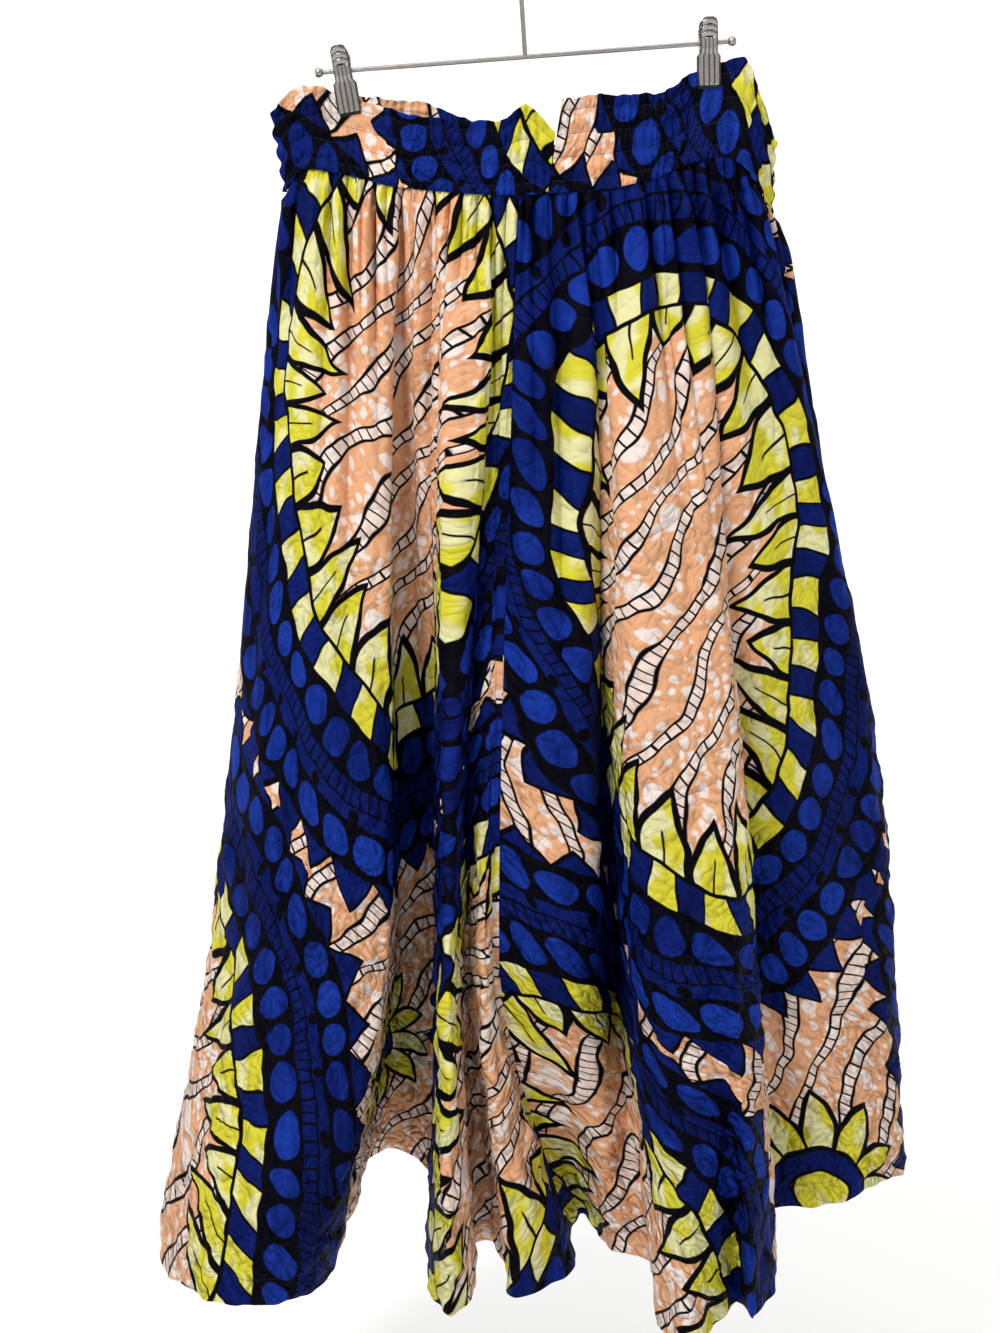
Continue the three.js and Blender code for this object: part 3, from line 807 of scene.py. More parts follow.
def nearest_middle(x, y, aside, measure):
    """Place from the nearest middle of the half-drop repeat, and how far off it measures."""
    near = None
    for shift in (0.0, 0.5):
        dx = ((x / REPEAT[0] + (shift + aside)).part() - 0.5) * REPEAT[0]
        dy = ((y / REPEAT[1] + shift).part() - 0.5) * REPEAT[1]
        size = measure(dx, dy)
        if near is None:
            near = (dx, dy, size)
            continue
        closer = size.do("LESS_THAN", near[2])
        dx = near[0] + (dx - near[0]) * closer
        dy = near[1] + (dy - near[1]) * closer
        size = size.do("MINIMUM", near[2])
    return dx, dy, size


def roundel_distance(x, y):
    """Distance out from the nearest roundel's base oval, and the turn round it from 0 to 1."""

    def in_oval(dx, dy):
        return (dx / OVAL[0]) * (dx / OVAL[0]) + (dy / OVAL[1]) * (dy / OVAL[1])

    dx, dy, size = nearest_middle(x, y, 0.0, in_oval)
    share = size.do("SQRT") + 0.0001
    steep_x, steep_y = dx / OVAL[0] ** 2, dy / OVAL[1] ** 2
    steep = (steep_x * steep_x + steep_y * steep_y).do("SQRT") / share + 0.0001
    distance = (share - 1) / steep
    angle = (dy / OVAL[1]).do("ARCTAN2", dx / OVAL[0])
    wide, tall = OVAL[0] ** 2, OVAL[1] ** 2
    even = (angle * 2).do("SINE") * ((tall - wide) / (4 * (tall + wide)))
    return distance, (angle + even) / (2 * math.pi) + 0.5


def rosette_distance(x, y):
    """Distance from the middle of the nearest gap between roundels, and the turn round it."""
    dx, dy, size = nearest_middle(x, y, 0.5, lambda dx, dy: (dx * dx + dy * dy).do("SQRT"))
    return size, dy.do("ARCTAN2", dx) / (2 * math.pi) + 0.5


PRINT_COLOURS = (
    ("Blue", "Light blue", "Navy", "Orange")
    + ("Pale orange", "Yellow", "Pale yellow", "Black")
)


def wax_print():
    """The print as a node group on a cloth map in metres."""
    entries = {"Cloth": "Vector"} | dict.fromkeys(PRINT_COLOURS, "Color")
    tree, given, handed = new_group("Wax print", entries, {"Color": "Color", "Ink": "Float"})
    blue, light, navy, orange, peach, yellow, cream, black = (
        given[name] for name in PRINT_COLOURS
    )

    def lay(under, top, mask):
        return over(tree, under, top, mask)

    def outlined(under, top, value, line, edge):
        """Lays a shape where a value is below its edge, and its outline up to the line."""
        return lay(lay(under, black, value.below(line)), top, value.below(edge))

    def ring_in(limits):
        return Ring(distance, turn, limits)

    x, y = hand_cut_place(tree, given["Cloth"])
    distance, turn = roundel_distance(x, y)

    # Orange ground with pale bubbles and winding ladder ribbons.
    ground = lay(orange, peach, pale_bubbles(tree, x, y))
    ribbon, bars = ribbons(tree, x, y)
    ground = lay(ground, peach, ribbon.below(RIBBON - 0.0008) * 0.8)
    sides = abs(ribbon - RIBBON).below(RIBBON_LINE)
    ground = lay(ground, black, sides.either(ribbon.below(RIBBON - 0.0002).only(bars)))

    # Yellow, broken by pale cloudy patches, and blue of uneven depth.
    cloud = noise(tree, vector(tree, x * 1.6, y), 34.0, 1.0)
    lemon = lay(yellow, cream, cloud.do("MULTIPLY_ADD", -11.0, 5.75, clamp=True))
    streaks = noise(tree, vector(tree, x * 5, y), 31.0, 1.0)
    shade = noise(tree, vector(tree, x, y), 13.0) * 0.55 + streaks * 0.45
    sea = lay(blue, navy, shade.do("MULTIPLY_ADD", 1.5, -0.55, clamp=True))
    spot = lay(light, blue, shade.do("MULTIPLY_ADD", 3.0, -1.0, clamp=True))
    dark = lay(navy, black, 0.5)

    # Rosette in each gap.
    radius, round_ = rosette_distance(x, y)
    petal = abs((round_ * ROSETTE_LEAVES).part() - 0.5) * 2
    edge = (radius / ROSETTE - ROSETTE_EYE) / (1 - ROSETTE_EYE)
    leaf = petal - (edge * edge * -0.92 + 0.92)
    leaf = (leaf * (radius * (math.pi / ROSETTE_LEAVES))).either(radius - ROSETTE)
    colour = outlined(ground, lemon, leaf, 1.2 * OUTLINE, -0.0004)
    eye, core = ROSETTE * ROSETTE_EYE, ROSETTE * ROSETTE_CORE
    colour = outlined(colour, sea, radius, eye + OUTLINE, eye)
    colour = lay(colour, black, abs(radius - core).below(CORE_LINE))
    colour = lay(colour, lemon, radius.below(core - CORE_LINE))

    # Points round the outside of a roundel.
    ring = ring_in(POINTS)
    reach = POINTS[1] - POINTS[0]
    tall = ring.chance(POINT_PITCH) * 0.9 + 0.5
    tooth = abs(ring.repeat(POINT_PITCH)) * (2 * reach / POINT_PITCH) * tall
    tooth = tooth + (tall * -1 + 1) * reach
    outside = distance - (tooth * -1 + POINTS[1])
    colour = outlined(colour, sea, outside, 1.2 * OUTLINE, 0.0)
    colour = lay(colour, black, distance.below(POINTS[0] + OUTLINE))

    # Two rows of discs, with a row of dots and a ladder between.
    colour = lay(colour, dark, distance.below(OUTER_DISCS[1]))
    ring = ring_in(OUTER_DISCS)
    colour = lay(colour, spot, ring.disc(DISC_PITCH, DISC).below(0.0))
    colour = outlined(colour, sea, distance, DOTS[1], DOTS[1] - OUTLINE / 2)
    dot = ring_in(DOTS).disc(DOT_PITCH, DOT).below(0.0)
    colour = lay(colour, black, dot.only(distance.below(DOTS[1])))
    colour = outlined(colour, sea, distance, LADDER[1], LADDER[1] - OUTLINE / 2)
    bar = abs(ring_in(LADDER).repeat(BAR_PITCH)).below(BAR)
    colour = lay(colour, black, bar.only(distance.below(LADDER[1])))
    colour = lay(colour, dark, distance.below(INNER_DISCS[1]))
    ring = ring_in(INNER_DISCS)
    colour = lay(colour, spot, ring.disc(DISC_PITCH, DISC).below(0.0))

    # Yellow blocks on blue, then leaves that point into the orange middle.
    colour = outlined(colour, sea, distance, BLOCKS[1], BLOCKS[1] - OUTLINE)
    half = (distance - BLOCKS[0]) * 0.12 + BLOCK_HALF
    block = abs(ring_in(BLOCKS).repeat(BLOCK_PITCH)) - half
    inside = distance.below(BLOCKS[1] - OUTLINE)
    colour = lay(colour, black, block.below(0.0015).only(inside))
    colour = lay(colour, lemon, block.below(-0.0005).only(inside))
    colour = lay(colour, black, distance.below(LEAVES[1] + OUTLINE))
    ring = ring_in(LEAVES)
    length = ring.chance(LEAF_PITCH) * 0.6 + 0.45
    depth = (distance - LEAVES[1]) / (LEAVES[0] - LEAVES[1]) / length
    aside = abs(ring.repeat(LEAF_PITCH))
    side = aside - (depth * depth * -LEAF_HALF + LEAF_HALF)
    middle = outlined(ground, lemon, side, 1.5 * OUTLINE, 0.0)
    middle = lay(middle, black, aside.below(BAR).only(depth.below(0.5, 0.05)))
    colour = lay(colour, middle, distance.below(LEAVES[1]))

    feed(tree, handed["Color"], colour)
    feed(tree, handed["Ink"], shade)
    return tree


def hand_cut_place(tree, cloth):
    """Place on the print. The blocks are cut by hand, so every line wanders a little."""
    pulls = []
    for scale, detail in ((5.5, 1.0), (42.0, 0.0)):
        entries = {"Vector": cloth, "Scale": scale, "Detail": detail}
        pull = node(tree, "ShaderNodeTexNoise", entries).outputs["Color"]
        pulls.append(across_and_up(tree, pull))
    wide, fine = pulls
    return [
        at / PRINT_SCALE + (wide[k] - 0.5) * 0.055 + (fine[k] - 0.5) * 0.0055
        for k, at in enumerate(across_and_up(tree, cloth))
    ]


def pale_bubbles(tree, x, y):
    """Where the wax kept the orange dye out: soft-edged bubbles of uneven size."""
    found = None
    for scale, stretch, size in BUBBLES:
        entries = {"Vector": vector(tree, x * stretch, y), "Scale": scale, "Randomness": 1.0}
        cells = node(tree, "ShaderNodeTexVoronoi", entries, voronoi_dimensions="2D")
        parts = node(tree, "ShaderNodeSeparateColor", {"Color": cells.outputs["Color"]})
        radius = Sum(tree, parts.outputs[0]) * (1.5 * size) - 0.55 * size
        mask = (Sum(tree, cells.outputs["Distance"]) / scale).below(radius, 0.0014)
        found = mask if found is None else found.either(mask)
    return found


def ribbons(tree, x, y):
    """Distance from the middle of the nearest winding ribbon, and a mask of its cross bars."""
    quick = (y * (2 * math.pi / 0.088)).do("SINE") * 0.0060
    bend = quick + (x * (2 * math.pi / 0.21)).do("SINE") * 0.008
    drift = noise(tree, vector(tree, x, y), 3.0)
    course = (x * 0.72 + y * 0.69 + bend + drift * 0.09) / RIBBON_SPACING
    middle = abs((course.part() - 0.5) * RIBBON_SPACING)
    step = (x * 0.69 - y * 0.72 + bend * 0.6) / RUNG_PITCH
    bars = abs(step.part() - 0.5).below(0.085, 0.05)
    return middle, bars


# ---- weave, crumpling and stitches ----
# scale, depth, lean of each layer of fine creases
CRUSH = [(22.0, 0.0066, 0.7), (45.0, 0.0044, -0.5), (95.0, 0.0026, 0.3)]
WEAVE_DEPTH = 0.00004
LENGTH_OF_WEAR = 0.8  # from the hem up to where the cloth is crushed least
LENGTH_OF_GATHERS = 0.15


CRUSH_INPUTS = ("Crush", "Gathers", "Waist", "Hem")


def crushed_cotton():
    """Height, in metres, of crushed creases, of fine gathers below the waist and of the weave."""
    entries = {"Cloth": "Vector"} | dict.fromkeys(CRUSH_INPUTS, "Float")
    tree, given, handed = new_group("Crushed cotton", entries, {"Height": "Float"})
    crush, gathered, waist, hem = (Sum(tree, given[name]) for name in CRUSH_INPUTS)
    x, y = across_and_up(tree, given["Cloth"])
    height = None
    for scale, depth, lean in CRUSH:
        cloud = noise(tree, vector(tree, x + y * lean, y - x * lean * 0.4), scale)
        fold = (abs(cloud - 0.5) * 2).do("POWER", 0.7) * depth
        height = fold if height is None else height + fold
    worn = noise(tree, given["Cloth"], 6.0).do("MULTIPLY_ADD", 2.4, -0.55, clamp=True)
    lower = ((y - hem) / -LENGTH_OF_WEAR).do("ADD", 1.0, clamp=True)
    height = height * (worn * 0.55 + 0.45) * (lower * 0.7 + 0.3) * crush
    drawn = abs(noise(tree, vector(tree, x, y * 0.07), 135.0) - 0.5) * 2
    near = ((y - waist) / LENGTH_OF_GATHERS).do("ADD", 1.0, clamp=True)
    height = height + drawn * near * near * gathered
    warp, weft = ((at * (2 * math.pi / THREAD)).do("SINE") for at in (x, y))
    feed(tree, handed["Height"], height + warp * weft * WEAVE_DEPTH)
    return tree


STITCH_INPUTS = ("First row", "Last row", "Spacing")
STITCH_DENT = 0.0005


def machine_stitches():
    """Even rows of dashed machine stitches, and how far they pull the cloth in, in metres."""
    entries = {"Cloth": "Vector"} | dict.fromkeys(STITCH_INPUTS, "Float")
    results = {"Thread": "Float", "Dent": "Float"}
    tree, given, handed = new_group("Machine stitches", entries, results)
    x, y = across_and_up(tree, given["Cloth"])
    first, last, spacing = (Sum(tree, given[name]) for name in STITCH_INPUTS)
    aside = abs(((y - first) / spacing + 0.5).part() - 0.5) * spacing
    aside = aside.either(abs(y - (first + last) / 2) - (last - first) / 2)
    dash = abs((x / STITCH).part() - 0.5)
    feed(tree, handed["Thread"], aside.below(0.0004, 0.0003).only(dash.below(0.36, 0.1)))
    pulled = dash.below(0.3, 0.3) * 0.5 + 0.5
    feed(tree, handed["Dent"], (aside.below(0.0009, 0.0018) * pulled) * -STITCH_DENT)
    return tree


# ---- making the hanger and clips ----
def pick(piece, wanted):
    """Goes into edit mode with only the vertices selected whose place is wanted."""
    bpy.ops.object.mode_set(mode="OBJECT")
    mesh = piece.data
    for parts in (mesh.polygons, mesh.edges, mesh.vertices):
        parts.foreach_set("select", [False] * len(parts))
    for corner in mesh.vertices:
        corner.select = wanted(corner.co / MM)
    bpy.ops.object.mode_set(mode="EDIT")
    bpy.ops.mesh.select_mode(type="VERT")


def finish_edit(piece):
    bpy.ops.object.mode_set(mode="OBJECT")
    return piece


def push(piece, height):
    """Presses a plate out along -Y, each vertex by a height in millimetres."""
    heights = {height(corner.co / MM) for corner in piece.data.vertices}
    for level in sorted({round(h, 1) for h in heights if abs(h) >= 0.05}):
        pick(piece, lambda place: round(height(place), 1) == level)
        bpy.ops.transform.translate(value=(0, -level * MM, 0))
    return finish_edit(piece)


def pressed_plate(name, columns, stations):
    """A plate drawn out upwards from its foot, through stations of out, up and half width."""
    (out, up, half), *rest = stations
    foot = (0, -out * MM, up * MM)
    piece = primitive(
        name,
        bpy.ops.mesh.primitive_grid_add,
        x_subdivisions=columns,
        y_subdivisions=1,
        size=2 * half * MM,
        location=foot,
        rotation=(math.radians(90), 0, 0),
    )
    pick(piece, lambda place: True)
    bpy.ops.transform.resize(value=(1, 1, FIRST_ROW / half), center_override=foot)
    middle = up
    pick(piece, lambda place: place.z > middle)
    for next_out, next_up, next_half in rest:
        step = (0, (out - next_out) * MM, (next_up - up) * MM)
        bpy.ops.mesh.extrude_region_move(TRANSFORM_OT_translate={"value": step})
        bpy.ops.transform.resize(value=(next_half / half, 1, 1), center_override=(0, 0, 0))
        out, up, half = next_out, next_up, next_half
    return finish_edit(piece)


def jaw_half(up):
    """Half width of a jaw at a height above the bar's middle line."""
    return float(np.interp(up, *JAW_HALF))


def rib_height(place):
    """Upright ribs up to the bar, then curved ribs across the finger grip."""
    share = abs(place.x) / jaw_half(place.z)
    if place.z < GRIP_FOOT:
        if share > RIB_REACH:
            return -RIM_SET
        turn = (place.x / jaw_half(place.z) / RIB_REACH + 1) / 2 * JAW_RIBS
        return RIB * abs(math.sin(math.pi * turn)) ** 0.6
    turn = (place.z + GRIP_ARCH * share**2 - GRIP_FOOT - GRIP_MARGIN) / GRIP_PITCH
    if not 0 < turn < GRIP_RIBS:
        return 0
    return GRIP_RIB * abs(math.sin(math.pi * turn)) ** 0.7 * min(1, (1 - share) * 6)


def clip_jaw():
    """One jaw in its clip's own axes: a ribbed plate, a finger grip and a toothed rubber tip."""
    steps = spread(JAW_SIDE[0][0], JAW_SIDE[0][-1], JAW_ROW).tolist()
    side = curve(*JAW_SIDE, eased=True)
    stations = [(float(side(up)), up, jaw_half(up)) for up in steps]
    plate = pressed_plate("jaw", JAW_COLUMNS, stations)
    push(plate, rib_height)
    mark_jaw(plate)
    apply(plate, "SOLIDIFY", thickness=JAW_WALL * MM, offset=0)
    plate.data.materials.append(steel_material("clip steel"))
    tip = pressed_plate("tip", TIP_COLUMNS, [(TIP_OUT, up, TIP_HALF) for up in TIP_ROWS])
    tooth_width = 2 * TIP_HALF / TIP_COLUMNS

    def between_teeth(place):
        column = round((place.x + TIP_HALF) / tooth_width)
        return place.z < TIP_ROWS[0] and column % 2 == 0

    pick(tip, between_teeth)
    bpy.ops.transform.translate(value=(0, 0, TOOTH * MM))
    finish_edit(tip)
    apply(tip, "SOLIDIFY", thickness=TIP_WALL * MM, offset=0)
    tip.data.materials.append(rubber_material())
    alone(plate)
    tip.select_set(True)
    bpy.ops.object.join()
    bpy.ops.object.shade_smooth_by_angle(angle=SMOOTH_METAL)
    return plate


def mark_jaw(plate):
    """A map that holds the height of the ribs, by which shade is painted dark into the grooves.
    """
    layer = plate.data.uv_layers.active
    layer.name = RIB_MAP
    for corner, mark in zip(plate.data.loops, layer.data):
        place = plate.data.vertices[corner.vertex_index].co / MM
        mark.uv = (rib_height(place), place.z / RIB_MAP_HEIGHT)


def wire_piece(name, points, wire):
    """Round wire through points in millimetres, as a closed mesh."""
    line = bpy.data.curves.new(name, "CURVE")
    line.dimensions = "3D"
    line.bevel_depth = wire / 2 * MM
    line.bevel_resolution = 3
    line.use_fill_caps = True
    spline = line.splines.new("POLY")
    spline.points.add(len(points) - 1)
    for at, place in zip(spline.points, points):
        at.co = (*[value * MM for value in place], 1)
    alone(linked(name, line))
    bpy.ops.object.convert(target="MESH")
    piece = bpy.context.object
    piece.data.materials.append(steel_material("hanger wire"))
    bpy.ops.object.shade_smooth_by_angle(angle=SMOOTH_METAL)
    return piece


def clip_spring():
    """A coil round the bar with a leg up the back of each grip."""
    radius = (SPRING - SPRING_WIRE) / 2
    end = SPRING_LENGTH / 2 - SPRING_WIRE / 2
    turns = SPRING_TURNS + 0.5
    points = [(-end, radius, LEG), (-end, radius, LEG / 2)]
    for step in range(int(turns * COIL_STEPS) + 1):
        turn = -2 * math.pi * step / COIL_STEPS
        along = -end + 2 * end * step / (turns * COIL_STEPS)
        points.append((along, radius * math.cos(turn), radius * math.sin(turn)))
    points += [(end, -radius, LEG / 2), (end, -radius, LEG)]
    return wire_piece("spring", points, SPRING_WIRE)


def hanger_points():
    """The hook from its tip over the seat, down to the bar."""
    radius = HOOK_BEND + WIRE / 2
    neck = BAR_DROP - HOOK_BEND - radius
    turn = np.linspace(HOOK_TIP, 0, HOOK_STEPS)
    arc = [(radius * math.cos(t), 0, radius * math.sin(t) - HOOK_BEND) for t in turn]
    share = np.linspace(0, 1, NECK_STEPS)[1:]
    foot = [(radius * (1 - s), 0, -HOOK_BEND - radius * t) for s, t in zip(smooth(share), share)]
    return [*arc, *foot, (0, 0, neck / 2 - BAR_DROP), (0, 0, -BAR_DROP)]


def knob(end):
    """A rounded stop with a flat face on an end of the bar."""
    ball = primitive(
        "knob",
        bpy.ops.mesh.primitive_uv_sphere_add,
        segments=24,
        ring_count=16,
        radius=KNOB / 2 * MM,
        location=(end * BAR_LENGTH / 2 * MM, 0, -BAR_DROP * MM),
        rotation=(0, math.radians(90), 0),
    )
    face = end * (BAR_LENGTH / 2 + KNOB * KNOB_FACE)
    pick(ball, lambda spot: end * (spot.x - face) > 0)
    bpy.ops.transform.resize(value=(0, 1, 1), center_override=(face * MM, 0, -BAR_DROP * MM))
    finish_edit(ball)
    ball.data.materials.append(steel_material("hanger wire"))
    bpy.ops.object.shade_smooth_by_angle(angle=SMOOTH_METAL)
    return ball


def placed(piece, name, matrix, node_name):
    """Moves a piece's mesh to its place and says what it stands for."""
    piece.data.transform(matrix)
    piece.name = name
    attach(piece, "root")
    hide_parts(node_name)


def copy_of(piece):
    """The same piece with its own mesh."""
    alone(piece)
    bpy.ops.object.duplicate(linked=False)
    return bpy.context.object


# ---- finishes ----
# Colours as linear light.
THREAD_COLOUR = (0.02, 0.022, 0.06, 1)
# painted shade in the clips' grooves, and the dark of rub marks on the hanger
GROOVE_SHADE_AND_RUB = (0.035, 0.03, 0.03, 1)
PLATE = (0.46, 0.425, 0.40, 1)
STAIN_DARK = (0.12, 0.10, 0.085, 1)
STAIN_PALE = (0.40, 0.385, 0.37, 1)
RUBBER = (0.008, 0.008, 0.010, 1)
RUBBER_DUST = (0.035, 0.033, 0.034, 1)


def group(tree, name, make, entries):
    """A shader node group, built once, in a material with its own entries."""
    made = tree.nodes.new("ShaderNodeGroup")
    made.node_tree = bpy.data.node_groups.get(name) or make()
    fill(tree, made, entries)
    return made


def new_material(name):
    """A material with its node tree and its shader."""
    material = bpy.data.materials.new(name)
    material.use_nodes = True
    tree = material.node_tree
    return material, tree, tree.nodes["Principled BSDF"]


def raise_relief(tree, shader, height, distance, strength):
    """Lets a height show as relief on the surface."""
    entries = {"Height": height, "Distance": distance, "Strength": strength}
    feed(tree, shader.inputs["Normal"], node(tree, "ShaderNodeBump", entries).outputs[0])


def cloth_material(name, crush, gathered, ends, rows):
    """Wax print cotton, crushed and gathered more or less.

    Its ends are the heights on the cloth's map of the waist, below which it is gathered, and of
    the hem. Its rows of stitches are given by the first and the last height, and their spacing.
    """
    material, tree, shader = new_material(name)
    place = node(tree, "ShaderNodeUVMap", uv_map=CLOTH_MAP).outputs["UV"]
    entries = {"Cloth": place}
    for label in PRINT_COLOURS:
        entries[label] = (*getattr(colours(), label.lower().replace(" ", "_")), 1)
    dyed = group(tree, "Wax print", wax_print, entries)
    entries = {label: value * MM for label, value in zip(STITCH_INPUTS, rows)}
    sewn = group(tree, "Machine stitches", machine_stitches, {"Cloth": place, **entries})
    entries = dict(zip(CRUSH_INPUTS, (crush, gathered, ends[0] * MM, ends[1] * MM)))
    relief = group(tree, "Crushed cotton", crushed_cotton, {"Cloth": place, **entries})
    thread = Sum(tree, sewn.outputs["Thread"]) * 0.6
    entries = {
        "Base Color": over(tree, dyed.outputs["Color"], THREAD_COLOUR, thread),
        "Roughness": Sum(tree, dyed.outputs["Ink"]).do("MULTIPLY_ADD", 0.2, 0.5),
        "Specular IOR Level": 0.045,
    }
    fill(tree, shader, entries)
    height = Sum(tree, relief.outputs["Height"]) + sewn.outputs["Dent"]
    raise_relief(tree, shader, height, 1.0, 1.0)
    return material


def steel_material(name):
    """Bright plated steel, rubbed, with shade painted dark into the grooves of a pressed plate.
    """
    found = bpy.data.materials.get(name)
    if found:
        return found
    material, tree, shader = new_material(name)
    place = node(tree, "ShaderNodeTexCoord").outputs["Object"]
    wear = group(tree, "Rubbed metal", rubbed_metal, {"Place": place})
    if name == "clip steel":
        ribs = node(tree, "ShaderNodeUVMap", uv_map=RIB_MAP).outputs["UV"]
        height, _ = across_and_up(tree, ribs)
        # painted shade: the lower the rib height, the darker the groove between the ribs
        raised = height.do("MULTIPLY_ADD", 1.3, -0.45, clamp=True)
    else:
        raised = Sum(tree, wear.outputs["Rub"]).do("MULTIPLY_ADD", 0.2, 0.8, clamp=True)
    # the dark tone is painted groove shade on the clips and rub marks on the hanger
    tone = over(tree, GROOVE_SHADE_AND_RUB, PLATE, raised)
    entries = {
        "Base Color": over(tree, tone, wear.outputs["Stain"], 0.3),
        "Roughness": wear.outputs["Roughness"],
        "Metallic": 1.0,
    }
    fill(tree, shader, entries)
    raise_relief(tree, shader, wear.outputs["Rub"], 0.0001, 0.25)
    return material


def rubbed_metal():
    """Roughness, rubbing and staining of plated metal."""
    results = {"Roughness": "Float", "Rub": "Float", "Stain": "Color"}
    tree, given, handed = new_group("Rubbed metal", {"Place": "Vector"}, results)
    cloud, rub, stain = (
        noise(tree, given["Place"], scale, detail, "3D")
        for scale, detail in ((220.0, 3.0), (900.0, 2.0), (90.0, 2.0))
    )
    feed(tree, handed["Roughness"], cloud.do("MULTIPLY_ADD", 0.3, 0.12))
    feed(tree, handed["Rub"], rub)
    feed(tree, handed["Stain"], over(tree, STAIN_DARK, STAIN_PALE, stain))
    return tree


def rubber_material():
    """Black rubber on the clips' tips, with dusty high spots."""
    material, tree, shader = new_material("black rubber")
    place = node(tree, "ShaderNodeTexCoord").outputs["Object"]
    dust = noise(tree, place, 500.0, 3.0, "3D")
    fill(tree, shader, {"Base Color": over(tree, RUBBER, RUBBER_DUST, dust), "Roughness": 0.75})
    raise_relief(tree, shader, dust, 0.0002, 0.4)
    return material


# ---- operators ----
def linear(code):
    """A colour given as six hexadecimal digits, as linear light."""
    parts = [int(code[k : k + 2], 16) / 255 for k in (0, 2, 4)]
    return [p / 12.92 if p < 0.04045 else ((p + 0.055) / 1.055) ** 2.4 for p in parts]


def amount(label, use, default, least=0, **limits):
    """A number property with its default and its limits."""
    return bpy.props.FloatProperty(
        name=label, description=use, default=default, min=least, **limits
    )


class SkirtSizes(bpy.types.PropertyGroup):
    """Sizes of the cloth's own detail."""

    wall: amount(
        "Cloth thickness", "Thickness of the shown cloth", 0.0008, least=0.0002, unit="LENGTH"
    )
    gather_depth: amount("Gather depth", "How strongly the gathers stand out", 1.0, max=2)
    crease_depth: amount("Crease depth", "How strongly the creases stand out", 1.0, max=2)
    crumple_depth: amount("Crumple depth", "Depth of the crushed dents", 0.0022, unit="LENGTH")
    crush: amount("Fine crush", "Strength of the finest creases", 1.9, max=4)
    fine_gathers: amount(
        "Fine gathers", "Depth of the finest gathers at the waist", 0.0024, unit="LENGTH"
    )


def dye(label, use, code):
    """A colour property with its default."""
    default = linear(code)
    return bpy.props.FloatVectorProperty(
        name=label, description=use, subtype="COLOR", size=3, min=0, max=1, default=default
    )


class PrintColours(bpy.types.PropertyGroup):
    """Dyes of the wax print."""

    blue: dye("Blue", "Royal blue bands", "081A60")
    light_blue: dye("Light blue", "Discs on the dark bands", "143290")
    navy: dye("Navy", "Ground of the disc bands", "030314")
    orange: dye("Orange", "Ground between the roundels", "DBA27A")
    pale_orange: dye("Pale orange", "Bubbles and ribbons in the orange", "E2D3CB")
    yellow: dye("Yellow", "Leaves, blocks and rosettes", "CBC337")
    pale_yellow: dye("Pale yellow", "Cloudy patches in the yellow", "D6D29A")
    black: dye("Black", "Outlines", "040308")


class SKIRT_OT_waistband(bpy.types.Operator):
    """Makes the shirred waistband"""

    bl_idname = "skirt.waistband"
    bl_label = "Waistband"

    def execute(self, context):
        foot, sizes = BAND_SHIFT[1], settings()
        first = foot + STITCH_FIRST
        rows = (first, first + (STITCH_ROWS - 1) * STITCH_SPACING, STITCH_SPACING)
        ends = (foot + BAND_HEIGHT, foot - BAND_HEIGHT)
        crush, gathered = 0.5 * sizes.crush, 0.6 * sizes.fine_gathers
        material = cloth_material("wax print, waistband", crush, gathered, ends, rows)
        piece = band_sheet("waistband_cloth", BAND_SHIFT, material)
        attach(piece, "root")
        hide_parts("waistband")
        return {"FINISHED"}


class SKIRT_OT_panels(bpy.types.Operator):
    """Makes the two gathered skirt panels"""

    bl_idname = "skirt.panels"
    bl_label = "Skirt panels"

    def execute(self, context):
        sizes = settings()
        for side, start, cut_waist, shift in PANELS:
            hem = shift[1] - DROP
            ends, rows = (shift[1], hem), (hem + HEM_ROW, hem + HEM_ROW, DROP)
            material = cloth_material(
                f"wax print, {side} panel", sizes.crush, sizes.fine_gathers, ends, rows
            )
            name = f"panel_{side}_cloth"
            piece = panel_sheet(name, start, start + PANEL, cut_waist, shift, material)
            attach(piece, "root")
            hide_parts(f"panel_{side}")
        return {"FINISHED"}


class SKIRT_OT_hanger(bpy.types.Operator):
    """Makes the wire hanger, its two clips and their springs"""

    bl_idname = "skirt.hanger"
    bl_label = "Clip hanger"

    def execute(self, context):
        tilt = Matrix.Rotation(-TILT, 4, "Y")
        bar_ends = [(end * BAR_LENGTH / 2, 0, -BAR_DROP) for end in (-1, 1)]
        parts = [wire_piece("bar", bar_ends, WIRE), wire_piece("hook", hanger_points(), WIRE)]
        parts += [knob(end) for end in (-1, 1)]
        alone(parts[0])
        for part in parts:
            part.select_set(True)
        bpy.ops.object.join()
        placed(parts[0], "hanger_wire", tilt, "hanger")
        jaw, spring = clip_jaw(), clip_spring()
        back = Matrix.Rotation(math.radians(180), 4, "Z")
        for side, along, lean in CLIPS:
            at = tilt @ Matrix.Translation((along * MM, 0, -BAR_DROP * MM))
            leaning = at @ Matrix.Rotation(-lean, 4, "Y")
            for facing, turn in (("front", Matrix()), ("back", back)):
                name = f"clip_{side}_{facing}_jaw"
                placed(copy_of(jaw), f"steel_{name}", leaning @ turn, name)
            placed(copy_of(spring), f"coil_clip_{side}", at, f"clip_{side}_spring")
        for pattern in (jaw, spring):
            bpy.data.objects.remove(pattern)
        return {"FINISHED"}


def curved_floor():
    """A round floor whose edge sweeps up all round, so that no horizon shows."""
    middle = FLOOR + COVE_HEIGHT / 2
    floor = primitive(
        "floor",
        bpy.ops.mesh.primitive_cylinder_add,
        vertices=96,
        radius=COVE_RADIUS,
        depth=COVE_HEIGHT,
        location=(0, 0, middle),
    )
    pick(floor, lambda place: place.z * MM > middle)
    bpy.ops.mesh.delete(type="FACE")
    pick(floor, lambda place: place.z * MM < middle)
    bpy.ops.mesh.bevel(offset=COVE_BEND, segments=16)
    bpy.ops.mesh.select_all(action="SELECT")
    bpy.ops.mesh.flip_normals()
    finish_edit(floor)
    bpy.ops.object.shade_smooth()
    return floor


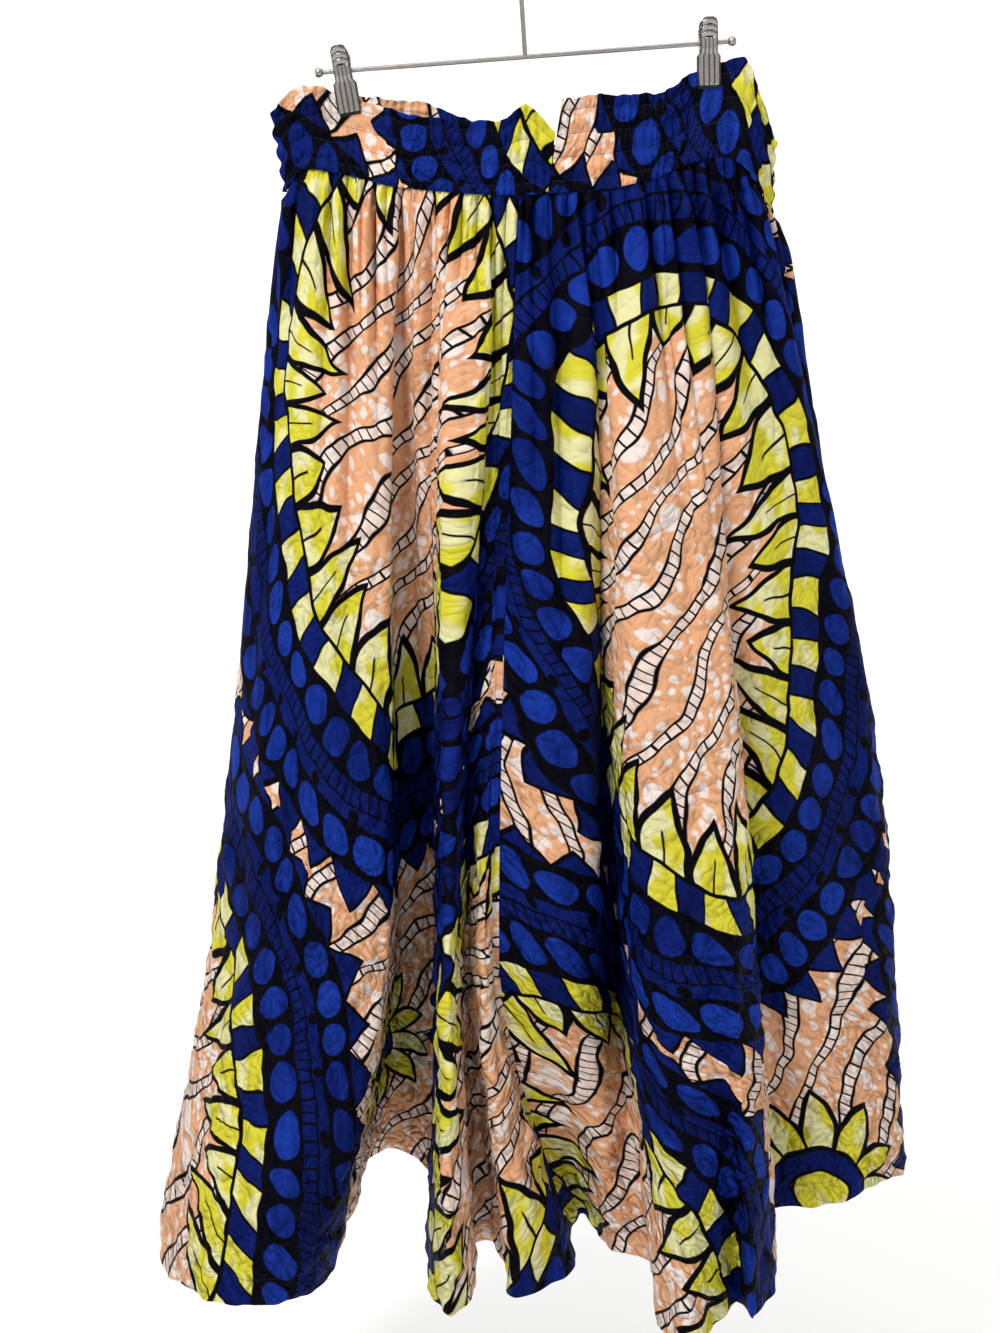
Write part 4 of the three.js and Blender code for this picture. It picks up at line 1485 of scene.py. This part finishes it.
class SKIRT_OT_stage(bpy.types.Operator):
    """Sets the pale floor, the soft lights and the camera"""

    bl_idname = "skirt.stage"
    bl_label = "Stage"

    def execute(self, context):
        scene = context.scene
        floor = curved_floor()
        material, tree, shader = new_material("pale floor")
        entries = {"Base Color": (*FLOOR_TONE, 1), "Roughness": 0.9, "Specular IOR Level": 0.1}
        fill(tree, shader, entries)
        floor.data.materials.append(material)
        world = bpy.data.worlds.new("white studio")
        world.use_nodes = True
        tree = world.node_tree
        fill(tree, tree.nodes["Background"], {"Color": (1, 1, 1, 1), "Strength": SKY})
        scene.world = world
        scene.view_settings.view_transform = "Standard"
        for name, at, aim, size, power in LIGHTS:
            lamp = bpy.data.lights.new(name, "AREA")
            lamp.energy = power
            lamp.size = size
            light = linked(name, lamp)
            light.location = at
            light.rotation_euler = (Vector(aim) - Vector(at)).to_track_quat("-Z", "Y").to_euler()
        camera = bpy.data.cameras.new("camera")
        camera.lens = CAMERA_LENS
        eye = linked("camera", camera)
        eye.location = CAMERA_AT
        eye.rotation_euler = (math.radians(90) - CAMERA_PITCH, 0, 0)
        scene.camera = eye
        return {"FINISHED"}


class SKIRT_PT_pieces(bpy.types.Panel):
    """Lists the pieces of the skirt"""

    bl_idname = "SKIRT_PT_pieces"
    bl_label = "Wax Print Skirt"
    bl_space_type = "VIEW_3D"
    bl_region_type = "UI"
    bl_category = "Skirt"

    def draw(self, context):
        layout = self.layout
        for made in OPERATORS:
            layout.operator(made.bl_idname)
        for name in SkirtSizes.__annotations__:
            layout.prop(context.scene.skirt_sizes, name)
        for name in PrintColours.__annotations__:
            layout.prop(context.scene.print_colours, name)


OPERATORS = (SKIRT_OT_waistband, SKIRT_OT_panels, SKIRT_OT_hanger, SKIRT_OT_stage)
CLASSES = (SkirtSizes, PrintColours, *OPERATORS, SKIRT_PT_pieces)


def register():
    for made in CLASSES:
        bpy.utils.register_class(made)
    bpy.types.Scene.skirt_sizes = bpy.props.PointerProperty(type=SkirtSizes)
    bpy.types.Scene.print_colours = bpy.props.PointerProperty(type=PrintColours)


def unregister():
    del bpy.types.Scene.print_colours
    del bpy.types.Scene.skirt_sizes
    for made in reversed(CLASSES):
        bpy.utils.unregister_class(made)


def main():
    register()
    bpy.ops.skirt.waistband()
    bpy.ops.skirt.panels()
    bpy.ops.skirt.hanger()
    bpy.ops.skirt.stage()


if __name__ == "__main__":
    main()
